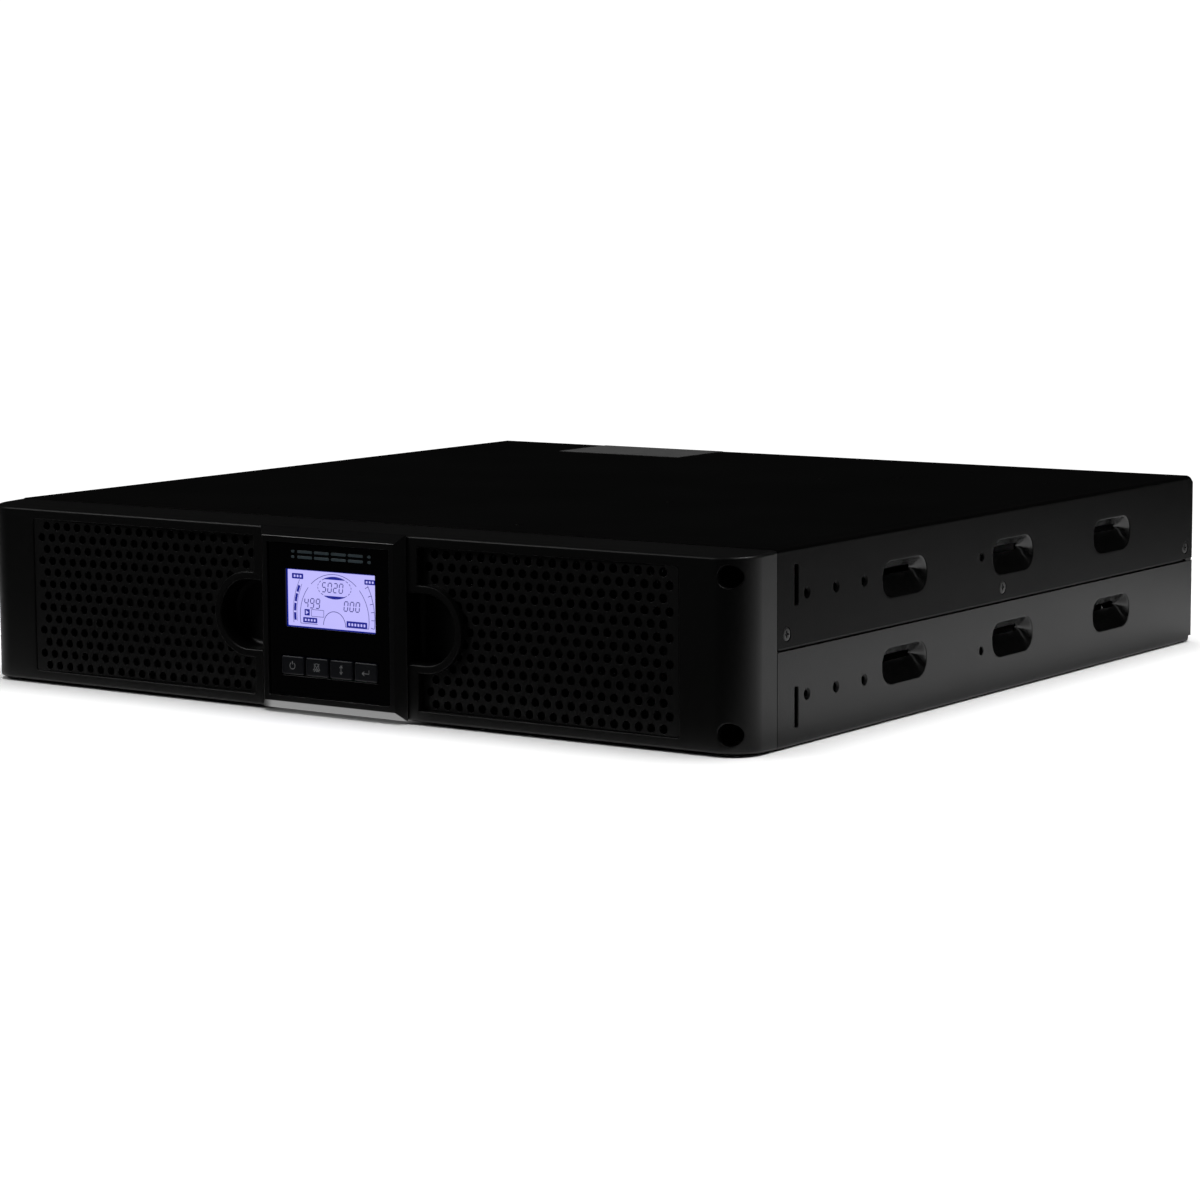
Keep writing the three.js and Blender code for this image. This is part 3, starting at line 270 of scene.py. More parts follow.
@dataclass
class Shell:
    """Gathers patches of surface, and makes one mesh of them with its seams closed."""

    points: list[Array] = field(default_factory=list)
    faces: list[Array] = field(default_factory=list)
    looks: list[Array] = field(default_factory=list)
    count: int = 0

    def add(self, points: Array, faces: Array, look: int = 0) -> None:
        """Adds a patch of surface.

        Args:
            points: Its points.
            faces: Its faces, as rows of the points' numbers.
            look: Which of the piece's materials it has.
        """
        self.points.append(points.reshape(-1, 3))
        self.faces.append(faces + self.count)
        self.looks.append(np.full(len(faces), look))
        self.count += self.points[-1].shape[0]

    def grid(self, rows: Array, wrap: bool = True, look: int = 0) -> None:
        """Adds a grid of quads.

        Args:
            rows: Points by row and column.
            wrap: Whether the last column joins the first.
            look: Which of the piece's materials it has.
        """
        r, c = rows.shape[:2]
        at = np.arange(r * c).reshape(r, c)
        right = np.roll(at, -1, axis=1)
        if not wrap:
            at, right = at[:, :-1], right[:, :-1]
        quads = np.stack([at[:-1], right[:-1], right[1:], at[1:]], axis=-1).reshape(-1, 4)
        self.add(rows, quads, look)

    def sweep(self, outline: Outline, place: Place, profile: Sequence[tuple], look: int = 0) -> None:
        """Carries a profile along an outline.

        Each row is the outline moved out by the profile's offset and set at its depth.

        Args:
            outline: The path.
            place: Where a point of the plane and its depth lie in space.
            profile: Pairs of offset and depth. A depth may be one number for each point.
            look: Which of the piece's materials it has.
        """
        rows = []
        for offset, depth in profile:
            p = outline.grown(offset).points
            rows.append(place(p[:, 0], p[:, 1], np.broadcast_to(np.asarray(depth, float), len(p))))
        self.grid(np.stack(rows), look=look)

    def fill(
        self,
        loops: Sequence[Array],
        place: Place,
        depth: float = 0.0,
        extra: Optional[Array] = None,
        lines: Sequence[tuple[int, int]] = (),
        look: int = 0,
    ) -> None:
        """Fills a region with holes by triangles between its loops and some extra points.

        Args:
            loops: The outer loop, then the holes.
            place: Where a point of the plane and its depth lie in space.
            depth: The depth of the whole region.
            extra: More points for a region that isn't flat.
            lines: Pairs of points of the outer loop that a fold runs between.
            look: Which of the piece's materials it has.
        """
        points = np.concatenate([*loops] if extra is None else [*loops, extra])
        edges, start = list(lines), 0
        for loop in loops:
            ring = np.arange(len(loop)) + start
            edges += list(zip(ring.tolist(), np.roll(ring, -1).tolist()))
            start += len(loop)
        made = delaunay_2d_cdt([Vector(p) for p in points.tolist()], edges, [], 0, FILL_MERGE)
        flat = np.array([tuple(p) for p in made[0]])
        faces = np.array(made[2])
        faces = faces[inside(flat[faces].mean(axis=1), loops)]
        self.add(place(flat[:, 0], flat[:, 1], np.full(len(flat), depth)), faces, look)

    def plate(
        self,
        outer: Outline,
        holes: Sequence[Outline],
        place: Place,
        thickness: float,
        edge: float,
        look: int = 0,
    ) -> None:
        """Makes a closed plate with rounded edges and holes.

        Args:
            outer: The plate's outline.
            holes: Its holes.
            place: Where a point of the plane and its depth lie in space.
            thickness: The plate's thickness.
            edge: The radius of its edges.
            look: Which of the piece's materials it has.
        """
        over = round_over(edge)
        back = [(o, thickness - d) for o, d in reversed(over)]
        for hole in holes:
            self.sweep(hole, place, over + back, look)
        self.sweep(outer, place, [(-o, d) for o, d in over + back], look)
        ring = [outer.grown(-edge).points, *[h.grown(edge).points for h in holes]]
        self.fill(ring, place, 0.0, look=look)
        self.fill(ring, place, thickness, look=look)

    def block(self, low: Sequence[float], high: Sequence[float], edge: float) -> None:
        """Makes a closed block between two corners, with rounded edges.

        Args:
            low: The corner with the least coordinates.
            high: The corner with the greatest.
            edge: The radius of its edges.
        """
        a, b = np.asarray(low, float), np.asarray(high, float)
        size = b - a
        place = Plane((a[0], a[1], b[2]), (1, 0, 0), (0, 1, 0), (0, 0, -1))
        shape = rounded(size[0] / 2, size[1] / 2, size[0], size[1], edge * 1.01, 2)
        self.plate(shape, [], place, size[2], edge)

    def tube(self, path: Array, radius: float, sides: int = 10, closed: bool = False) -> None:
        """Carries a circle along a path.

        The circle stands across the path, on two directions found from the path's own direction and
        the world direction that it follows least.

        Args:
            path: The middle line.
            radius: The tube's radius.
            sides: Sides of the circle.
            closed: Whether the path comes back to its start.
        """
        if closed:
            run = np.roll(path, -1, axis=0) - np.roll(path, 1, axis=0)
        else:
            run = np.gradient(path, axis=0)
        run /= np.linalg.norm(run, axis=1, keepdims=True)
        least = np.eye(3)[np.abs(run).sum(axis=0).argmin()]
        side = np.cross(run, least)
        side /= np.linalg.norm(side, axis=1, keepdims=True)
        up = np.cross(side, run)
        t = np.arange(sides) * 2 * math.pi / sides
        ring = np.cos(t)[None, :, None] * side[:, None] + np.sin(t)[None, :, None] * up[:, None]
        rows = path[:, None] + radius * ring
        if closed:
            self.grid(np.concatenate([rows, rows[:1]]))
            return
        self.grid(rows)
        k = np.arange(sides)
        fan = np.stack([np.zeros(sides, dtype=int), k + 1, np.roll(k, -1) + 1], axis=1)
        for end in (rows[0], rows[-1]):
            self.add(np.concatenate([end.mean(axis=0)[None], end]), fan)

    def finish(
        self,
        name: str,
        finishes: Sequence[bpy.types.Material],
        sharp: float = 32.0,
        bevel: float = 0.0,
    ) -> bpy.types.Object:
        """Makes the object: its doubles are merged and its faces turned outwards.

        Args:
            name: The piece's name.
            finishes: Its materials, in the order of the looks.
            sharp: The angle from which an edge is drawn sharp, in degrees.
            bevel: The width of a bevel on its sharp edges, or 0.

        Returns:
            The new object, linked to the scene.
        """
        datum = np.array([0.0, DATUM_Y, 0.0])
        mesh = bpy.data.meshes.new(name)
        faces = [f for group in self.faces for f in group.tolist()]
        mesh.from_pydata(((np.concatenate(self.points) + datum) * MM).tolist(), [], faces)
        mesh.polygons.foreach_set("material_index", np.concatenate(self.looks).astype(np.int32))
        for finish in finishes:
            mesh.materials.append(finish)
        work = bmesh.new()
        work.from_mesh(mesh)
        bmesh.ops.remove_doubles(work, verts=work.verts, dist=SEAM_MERGE)
        bmesh.ops.dissolve_degenerate(work, edges=work.edges, dist=SHORTEST)
        bmesh.ops.recalc_face_normals(work, faces=work.faces)
        work.to_mesh(mesh)
        work.free()
        mesh.shade_smooth()
        mesh.set_sharp_from_angle(angle=math.radians(sharp))
        made = bpy.data.objects.new(name, mesh)
        bpy.context.scene.collection.objects.link(made)
        if bevel:
            cut = made.modifiers.new("edges", "BEVEL")
            cut.width, cut.segments, cut.limit_method = bevel * MM, 2, "ANGLE"
            cut.angle_limit = math.radians(sharp)
            cut.harden_normals = True
        weigh = made.modifiers.new("even", "WEIGHTED_NORMAL")
        weigh.mode, weigh.keep_sharp = "FACE_AREA", True
        LOG.info("%s: %d faces", name, len(mesh.polygons))
        return made


DATUM_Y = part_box("base_chassis")[0].y / MM


# ------------------------------------------------------------------ finishes


Colour = tuple[float, float, float]
DUST_GREY = (0.25, 0.24, 0.22, 1)


def grey(value: float) -> Colour:
    """Returns a grey of that brightness."""
    return (value, value, value)


def _socket(group: bpy.types.NodeTree, name: str, way: str, kind: str, value: object = None) -> None:
    """Adds a socket to a group.

    Args:
        group: The group.
        name: The socket's name.
        way: INPUT or OUTPUT.
        kind: The socket's type.
        value: Its starting value.
    """
    made = group.interface.new_socket(name=name, in_out=way, socket_type=kind)
    if value is not None:
        made.default_value = value


def _math(
    tree: bpy.types.NodeTree, kind: str, a: object, b: object = 0.0, clamp: bool = False
) -> bpy.types.NodeSocket:
    """Adds a Math node.

    Args:
        tree: The tree it stands in.
        kind: The operation.
        a: A socket or a number.
        b: A socket or a number.
        clamp: Whether its result stays from 0 to 1.

    Returns:
        Its result.
    """
    node = tree.nodes.new("ShaderNodeMath")
    node.operation, node.use_clamp = kind, clamp
    for spot, value in zip(node.inputs, (a, b)):
        if isinstance(value, bpy.types.NodeSocket):
            tree.links.new(value, spot)
        else:
            spot.default_value = value
    return node.outputs[0]


def _mix(tree: bpy.types.NodeTree, share: object, a: object, b: object) -> bpy.types.NodeSocket:
    """Adds a node that mixes two colours.

    Args:
        tree: The tree it stands in.
        share: How much of the second colour, a socket or a number.
        a: The first colour or its socket.
        b: The second colour or its socket.

    Returns:
        The mixed colour.
    """
    node = tree.nodes.new("ShaderNodeMix")
    node.data_type = "RGBA"
    for spot, value in zip((node.inputs[0], node.inputs[6], node.inputs[7]), (share, a, b)):
        if isinstance(value, bpy.types.NodeSocket):
            tree.links.new(value, spot)
        else:
            spot.default_value = value
    return node.outputs[2]


def _noise(tree: bpy.types.NodeTree, scale: object, detail: float = 2.0) -> bpy.types.NodeSocket:
    """Adds noise on Object coordinates.

    Args:
        tree: The tree it stands in.
        scale: Its frequency per metre, a socket or a number.
        detail: How many finer layers it has.

    Returns:
        Its value, about 0.5 on average.
    """
    where = tree.nodes.new("ShaderNodeTexCoord")
    node = tree.nodes.new("ShaderNodeTexNoise")
    node.inputs["Detail"].default_value = detail
    tree.links.new(where.outputs["Object"], node.inputs["Vector"])
    if isinstance(scale, bpy.types.NodeSocket):
        tree.links.new(scale, node.inputs["Scale"])
    else:
        node.inputs["Scale"].default_value = scale
    return node.outputs[0]


def grain_group() -> bpy.types.NodeTree:
    """Builds the shared grain: a fine texture and a broad unevenness.

    The colour runs from Color to Tint with the sum of fine and broad noise times Amount. The roughness
    is Roughness plus Spread times the broad noise's difference from its middle. The height is the fine
    noise.

    Returns:
        The node group.
    """
    group = bpy.data.node_groups.new("grain", "ShaderNodeTree")
    _socket(group, "Color", "INPUT", "NodeSocketColor")
    _socket(group, "Tint", "INPUT", "NodeSocketColor")
    for name, value in (("Amount", 0.3), ("Roughness", 0.5), ("Spread", 0.1), ("Scale", 1500.0)):
        _socket(group, name, "INPUT", "NodeSocketFloat", value)
    _socket(group, "Color", "OUTPUT", "NodeSocketColor")
    _socket(group, "Roughness", "OUTPUT", "NodeSocketFloat")
    _socket(group, "Height", "OUTPUT", "NodeSocketFloat")
    given, out = group.nodes.new("NodeGroupInput"), group.nodes.new("NodeGroupOutput")
    fine = _noise(group, given.outputs["Scale"])
    broad = _noise(group, scale=14.0, detail=4.0)
    both = _math(group, "ADD", fine, _math(group, "SUBTRACT", broad, 0.5))
    share = _math(group, "MULTIPLY", both, given.outputs["Amount"], True)
    colour = _mix(group, share, given.outputs["Color"], given.outputs["Tint"])
    swing = _math(group, "MULTIPLY", _math(group, "SUBTRACT", broad, 0.5), given.outputs["Spread"])
    rough = _math(group, "ADD", given.outputs["Roughness"], swing, True)
    group.links.new(colour, out.inputs["Color"])
    group.links.new(rough, out.inputs["Roughness"])
    group.links.new(fine, out.inputs["Height"])
    return group


def dust_group() -> bpy.types.NodeTree:
    """Builds the shared dust: a thin pale film that lies on upward faces in soft patches.

    The mask is the normal's upward part times patchy noise times Amount, and the colour runs from the
    finish to dust grey by it.

    Returns:
        The node group.
    """
    group = bpy.data.node_groups.new("dust", "ShaderNodeTree")
    _socket(group, "Color", "INPUT", "NodeSocketColor")
    _socket(group, "Amount", "INPUT", "NodeSocketFloat", 0.02)
    _socket(group, "Color", "OUTPUT", "NodeSocketColor")
    given, out = group.nodes.new("NodeGroupInput"), group.nodes.new("NodeGroupOutput")
    facing = group.nodes.new("ShaderNodeNewGeometry")
    parts = group.nodes.new("ShaderNodeSeparateXYZ")
    group.links.new(facing.outputs["Normal"], parts.inputs[0])
    up = _math(group, "MAXIMUM", parts.outputs[2], 0.0)
    patch = _math(group, "MULTIPLY", _noise(group, scale=9.0, detail=5.0), up)
    share = _math(group, "MULTIPLY", patch, given.outputs["Amount"], True)
    dusty = _mix(group, share, given.outputs["Color"], DUST_GREY)
    group.links.new(dusty, out.inputs["Color"])
    return group


GRAIN = grain_group()
DUST = dust_group()


@dataclass(frozen=True)
class Finish:
    """A surface finish.

    Args:
        name: The material's name.
        colour: Its colour.
        tint: The colour that its grain runs to.
        amount: How far the grain runs to the tint.
        rough: Its roughness.
        spread: How far the roughness varies.
        scale: The grain's frequency per metre.
        bump: The grain's height in millimetres.
        metal: 1 for bare metal.
        gloss: The specular level.
        coat: The clear coat's weight.
        coat_rough: The clear coat's roughness.
        dust: How much dust lies on it.
    """

    name: str
    colour: Colour
    tint: Colour
    amount: float = 0.4
    rough: float = 0.5
    spread: float = 0.1
    scale: float = 1500.0
    bump: float = 0.0
    metal: float = 0.0
    gloss: float = 0.5
    coat: float = 0.0
    coat_rough: float = 0.1
    dust: float = 0.0

    def build(self) -> bpy.types.Material:
        """Makes the material.

        Returns:
            A node material: grain, then dust, into the base colour, with the grain's height as bump.
        """
        made = bpy.data.materials.new(self.name)
        made.use_nodes = True
        tree = made.node_tree
        shader = tree.nodes["Principled BSDF"]
        grain = tree.nodes.new("ShaderNodeGroup")
        grain.node_tree = GRAIN
        grain.inputs["Color"].default_value = (*self.colour, 1)
        grain.inputs["Tint"].default_value = (*self.tint, 1)
        for name, value in (
            ("Amount", self.amount),
            ("Roughness", self.rough),
            ("Spread", self.spread),
            ("Scale", self.scale),
        ):
            grain.inputs[name].default_value = value
        colour = grain.outputs["Color"]
        if self.dust:
            film = tree.nodes.new("ShaderNodeGroup")
            film.node_tree = DUST
            film.inputs["Amount"].default_value = self.dust
            tree.links.new(colour, film.inputs["Color"])
            colour = film.outputs["Color"]
        tree.links.new(colour, shader.inputs["Base Color"])
        tree.links.new(grain.outputs["Roughness"], shader.inputs["Roughness"])
        if self.bump:
            bump = tree.nodes.new("ShaderNodeBump")
            bump.inputs["Distance"].default_value = self.bump * MM
            bump.inputs["Strength"].default_value = 1.0
            tree.links.new(grain.outputs["Height"], bump.inputs["Height"])
            tree.links.new(bump.outputs["Normal"], shader.inputs["Normal"])
        for name, value in (
            ("Metallic", self.metal),
            ("Specular IOR Level", self.gloss),
            ("Coat Weight", self.coat),
            ("Coat Roughness", self.coat_rough),
        ):
            shader.inputs[name].default_value = value
        return made


@dataclass(frozen=True)
class Glow:
    """A lit surface that gives light of its own, a little uneven where the lamps behind it stand."""

    name: str
    colour: Colour
    dim: Colour
    strength: float = 1.0

    def build(self) -> bpy.types.Material:
        """Makes the material.

        Returns:
            A node material whose emission runs between the two colours by broad noise.
        """
        made = bpy.data.materials.new(self.name)
        made.use_nodes = True
        tree = made.node_tree
        shader = tree.nodes["Principled BSDF"]
        lit = _mix(tree, _noise(tree, 45.0), (*self.colour, 1), (*self.dim, 1))
        tree.links.new(lit, shader.inputs["Emission Color"])
        shader.inputs["Base Color"].default_value = (0.02, 0.02, 0.03, 1)
        shader.inputs["Emission Strength"].default_value = self.strength
        shader.inputs["Roughness"].default_value = 0.4
        return made


class Look(Enum):
    """The finishes of the unit."""

    STEEL = Finish(
        "powder_coated_steel",
        grey(0.0009),
        grey(0.0026),
        0.6,
        rough=0.33,
        spread=0.05,
        bump=0.035,
        gloss=0.22,
        dust=0.0008,
    )
    PRESSED = Finish(
        "pressed_steel_bowl",
        grey(0.0009),
        grey(0.002),
        0.6,
        rough=0.24,
        spread=0.05,
        bump=0.012,
        gloss=0.6,
        dust=0.0004,
    )
    COVER_STEEL = replace(STEEL, name="powder_coated_cover", rough=0.36, gloss=0.04)
    SCREW = Finish("blackened_screw", grey(0.01), grey(0.05), 0.5, 0.3, 0.1, 900, 0.01, 0.6)
    BARE = Finish("zinc_steel", (0.42, 0.43, 0.44), (0.62, 0.62, 0.6), 0.8, 0.34, 0.2, 220, 0.02, 1.0)
    BEZEL = Finish(
        "satin_black_plastic",
        grey(0.0016),
        grey(0.0035),
        0.5,
        rough=0.42,
        spread=0.06,
        scale=1100,
        bump=0.015,
        gloss=0.38,
        dust=0.001,
    )
    GRILLE = Finish("pierced_black_steel", grey(0.0016), grey(0.003), 0.5, 0.46, 0.05, 1500, 0.015)
    FRAME = Finish(
        "moulded_black_frame",
        (0.0014, 0.0014, 0.0015),
        grey(0.003),
        0.5,
        rough=0.3,
        spread=0.05,
        scale=900,
        bump=0.006,
        gloss=0.6,
        coat=0.1,
        coat_rough=0.2,
    )
    GLOSS = Finish(
        "gloss_black_pane",
        (0.0008, 0.0008, 0.001),
        (0.0015, 0.0015, 0.002),
        0.5,
        rough=0.08,
        spread=0.05,
        scale=60,
        gloss=0.15,
        coat=0.05,
        coat_rough=0.05,
    )
    KEY = Finish(
        "blue_black_rubber", (0.006, 0.007, 0.01), (0.01, 0.011, 0.015), 0.6, 0.42, 0.1, 1400, 0.01
    )
    KEY_MARK = Finish("grey_key_print", (0.3, 0.31, 0.32), (0.4, 0.4, 0.41), 0.6, 0.55, 0.05, 2500)
    BADGE = Finish("grey_badge", (0.09, 0.13, 0.15), (0.16, 0.2, 0.22), 0.6, 0.3, 0.1, 300, gloss=0.6)
    LABEL = Finish("printed_label", grey(0.035), grey(0.06), 0.7, 0.5, 0.1, 260, 0.01)
    # painted shade: the front panel and battery door are near black so that what shows through the
    # grille's holes reads as the shade behind them
    PANEL = Finish("panel_steel_painted_dark_as_shade", grey(0.0016), grey(0.004), 0.6, 0.5, 0.1, 900, 0.02)
    CASE = Finish("battery_case", (0.018, 0.019, 0.022), (0.035, 0.036, 0.04), 0.5, 0.6, 0.1, 900, 0.02)
    RED = Finish("red_cable_sleeve", (0.27, 0.012, 0.01), (0.4, 0.03, 0.02), 0.5, 0.42, 0.1, 700, 0.01)
    BLACK_CABLE = Finish("black_cable_sleeve", (0.006, 0.006, 0.007), (0.015, 0.015, 0.016), 0.5, 0.45)
    BOARD = Finish(
        "green_circuit_board",
        (0.008, 0.06, 0.022),
        (0.03, 0.13, 0.05),
        0.9,
        rough=0.35,
        spread=0.2,
        scale=330,
        bump=0.03,
        gloss=0.6,
    )
    ALUMINIUM = Finish(
        "extruded_aluminium", (0.5, 0.51, 0.52), grey(0.7), 0.8, 0.38, 0.2, 160, 0.02, 1.0
    )
    SLEEVE = Finish("capacitor_sleeve", (0.014, 0.018, 0.03), (0.03, 0.035, 0.05), 0.5, 0.3, 0.1, 500)
    COPPER = Finish("wound_copper", (0.1, 0.03, 0.012), (0.2, 0.07, 0.03), 0.9, 0.3, 0.2, 900, 0.08, 0.3)
    BLACK = Finish(
        "moulded_black_part", (0.008, 0.008, 0.0085), (0.015, 0.015, 0.016), 0.5, 0.5, 0.1, 1300, 0.02
    )
    GREEN = Finish("green_terminal", (0.01, 0.13, 0.05), (0.03, 0.22, 0.09), 0.6, 0.45, 0.1, 900, 0.02)
    INK = Glow("screen_ink", (0.012, 0.016, 0.3), (0.008, 0.012, 0.22), 1.0)
    FAINT_INK = Glow("faint_screen_ink", (0.07, 0.07, 0.28), (0.05, 0.05, 0.22), 1.0)
    SCREEN = Glow("lit_screen", (0.56, 0.53, 1.0), (0.5, 0.47, 0.98), 1.0)
    SCREEN_EDGE = Glow("screen_edge", (0.002, 0.012, 0.3), (0.001, 0.008, 0.2), 1.0)

    @property
    def material(self) -> bpy.types.Material:
        """The finish's material, built on first use."""
        return bpy.data.materials.get(self.value.name) or self.value.build()


def dress(names: Sequence[str], look: Look) -> None:
    """Gives CAD nodes a finish.

    Args:
        names: The nodes.
        look: Their finish.
    """
    for name in names:
        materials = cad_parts[name].data.materials
        for i in range(len(materials)):
            materials[i] = look.material
        if not len(materials):
            materials.append(look.material)
        LOG.info("%s: %s", name, look.value.name)


def stands_for(obj: bpy.types.Object, body: str, nodes: Sequence[str]) -> None:
    """Hangs a piece on its body and hides the CAD nodes that it replaces.

    Args:
        obj: The piece.
        body: The body that it rides on.
        nodes: The CAD nodes that it replaces.
    """
    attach(obj, body)
    if nodes:
        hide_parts(*nodes)


# ------------------------------------------------------------------ steel body


@dataclass(frozen=True)
class Vent:
    """A pressed louvre: a rounded mouth that sinks to a bowl with a slit above its middle."""

    length: float = 41.0
    height: float = 18.7
    corner: float = 8.0
    depth: float = 6.6
    soft: float = 1.3
    slit_length: float = 27.0
    slit_height: float = 3.0
    slit_rise: float = 3.0
    steep: float = 1.5
    rise_below: float = 0.53
    rise_above: float = 0.55
    blend: float = 3.4
    level: float = 8.0
    end_rise: float = 0.035
    end_power: float = 1.6

    def sink(self, y: Array, z: Array) -> Array:
        """Gives the bowl's depth at points measured from the vent's middle.

        With e the distance inside the rounded mouth, softened near its rim, the wall's depth is a
        steepness times e. The floor is a shallow valley, deepest at the slit, that rises evenly below
        and above it, and towards the ends by a power of the distance past its level part. The depth is
        the smooth least of the two: the lesser less (blend - |wall - floor|) squared over 4 blend,
        where the two differ by less than the blend.

        Args:
            y: Distances along the wall.
            z: Distances up.

        Returns:
            The depths.
        """
        qy = np.abs(y) - (self.length / 2 - self.corner)
        qz = np.abs(z) - (self.height / 2 - self.corner)
        out = np.hypot(np.maximum(qy, 0), np.maximum(qz, 0)) + np.minimum(np.maximum(qy, qz), 0)
        e = np.maximum(self.corner - out, 0)
        e = np.where(e < self.soft, e * e / (2 * self.soft), e - self.soft / 2)
        wall = self.steep * e
        below, above = np.maximum(self.slit_rise - z, 0), np.maximum(z - self.slit_rise, 0)
        floor = self.depth - self.rise_below * below - self.rise_above * above
        floor = floor - self.end_rise * np.maximum(np.abs(y) - self.level, 0) ** self.end_power
        blend = np.maximum(self.blend - np.abs(wall - floor), 0) ** 2 / (4 * self.blend)
        return np.where(e > 0, np.maximum(np.minimum(wall, floor) - blend, 0), 0)

    def rings(self) -> Array:
        """Spreads points over the bowl on rings, close together near its rim.

        Returns:
            The points, along the wall and up from the vent's middle.
        """
        by_the_rim, further_in = np.linspace(0, 2, 7), np.linspace(2.6, 9.0, 11)
        straight = self.length / 2 - self.corner
        flat = np.linspace(-straight, straight, 14)
        made = []
        for e in np.concatenate([by_the_rim, further_in]):
            corner = max(self.corner - e, 0.25)
            made.append(rounded(0, 0, self.length - 2 * e, self.height - 2 * e, corner, 8).points)
            for z in (self.height / 2 - e, e - self.height / 2):
                made.append(np.stack([flat, np.full_like(flat, z)], axis=1))
        return np.concatenate(made)


@dataclass(frozen=True)
class CoverScrews:
    """Flat-headed screws with a cross recess that hold the cover's walls to the base."""

    head: float = 2.9
    head_depth: float = 1.0
    shank: float = 1.4
    length: float = 6.0
    arm: float = 0.42
    reach: float = 1.65
    recess: float = 0.75
    taper: float = 0.12
    sunk: float = 0.12
    crown: float = 0.25
    ys: tuple[float, ...] = (7.7, 201.0, 398.5)
    z: float = 49.4

    def cross(self) -> Outline:
        """Draws the cross recess: three corners of one arm, turned by right angles.

        Returns:
            The outline.
        """
        a, b = self.arm, self.reach
        corners = []
        for k in range(4):
            c, s = round(math.cos(k * RIGHT_ANGLE)), round(math.sin(k * RIGHT_ANGLE))
            corners += [(c * x - s * y, s * x + c * y) for x, y in ((b, -a), (b, a), (a, a))]
        return polygon(corners)

    def build(self) -> None:
        """Builds the six screws, each in its CAD screw's place."""
        rim, cross, neck = circle(0, 0, self.head, 28), self.cross(), self.shank - self.head
        down = [(-self.crown, 0), (-0.07, 0.07), (0, 0.22), (neck, self.head_depth), (neck, self.length)]
        for side, word in ((1, "right"), (-1, "left")):
            for i, y in enumerate(self.ys, start=1):
                origin = (side * (HALF_W - self.sunk), y, self.z)
                place = Plane(origin, (0, side, 0), (0, 0, 1), (-side, 0, 0))
                shell = Shell()
                shell.fill([rim.grown(-self.crown).points, cross.points], place)
                shell.sweep(cross, place, [(0, 0), (-self.taper, self.recess)])
                shell.fill([cross.grown(-self.taper).points], place, self.recess)
                shell.sweep(rim, place, down)
                shell.fill([rim.grown(neck).points], place, self.length)
                made = shell.finish(f"cover_screw_{word}_{i}_head", [Look.SCREW.material])
                stands_for(made, "chassis", [f"cover_screw_{word}_{i}"])


@dataclass(frozen=True)
class Opening:
    """A hole in a steel wall: its outline, how much wider its mouth is, and how deep that reaches."""

    shape: Outline
    flare: float
    sink: float


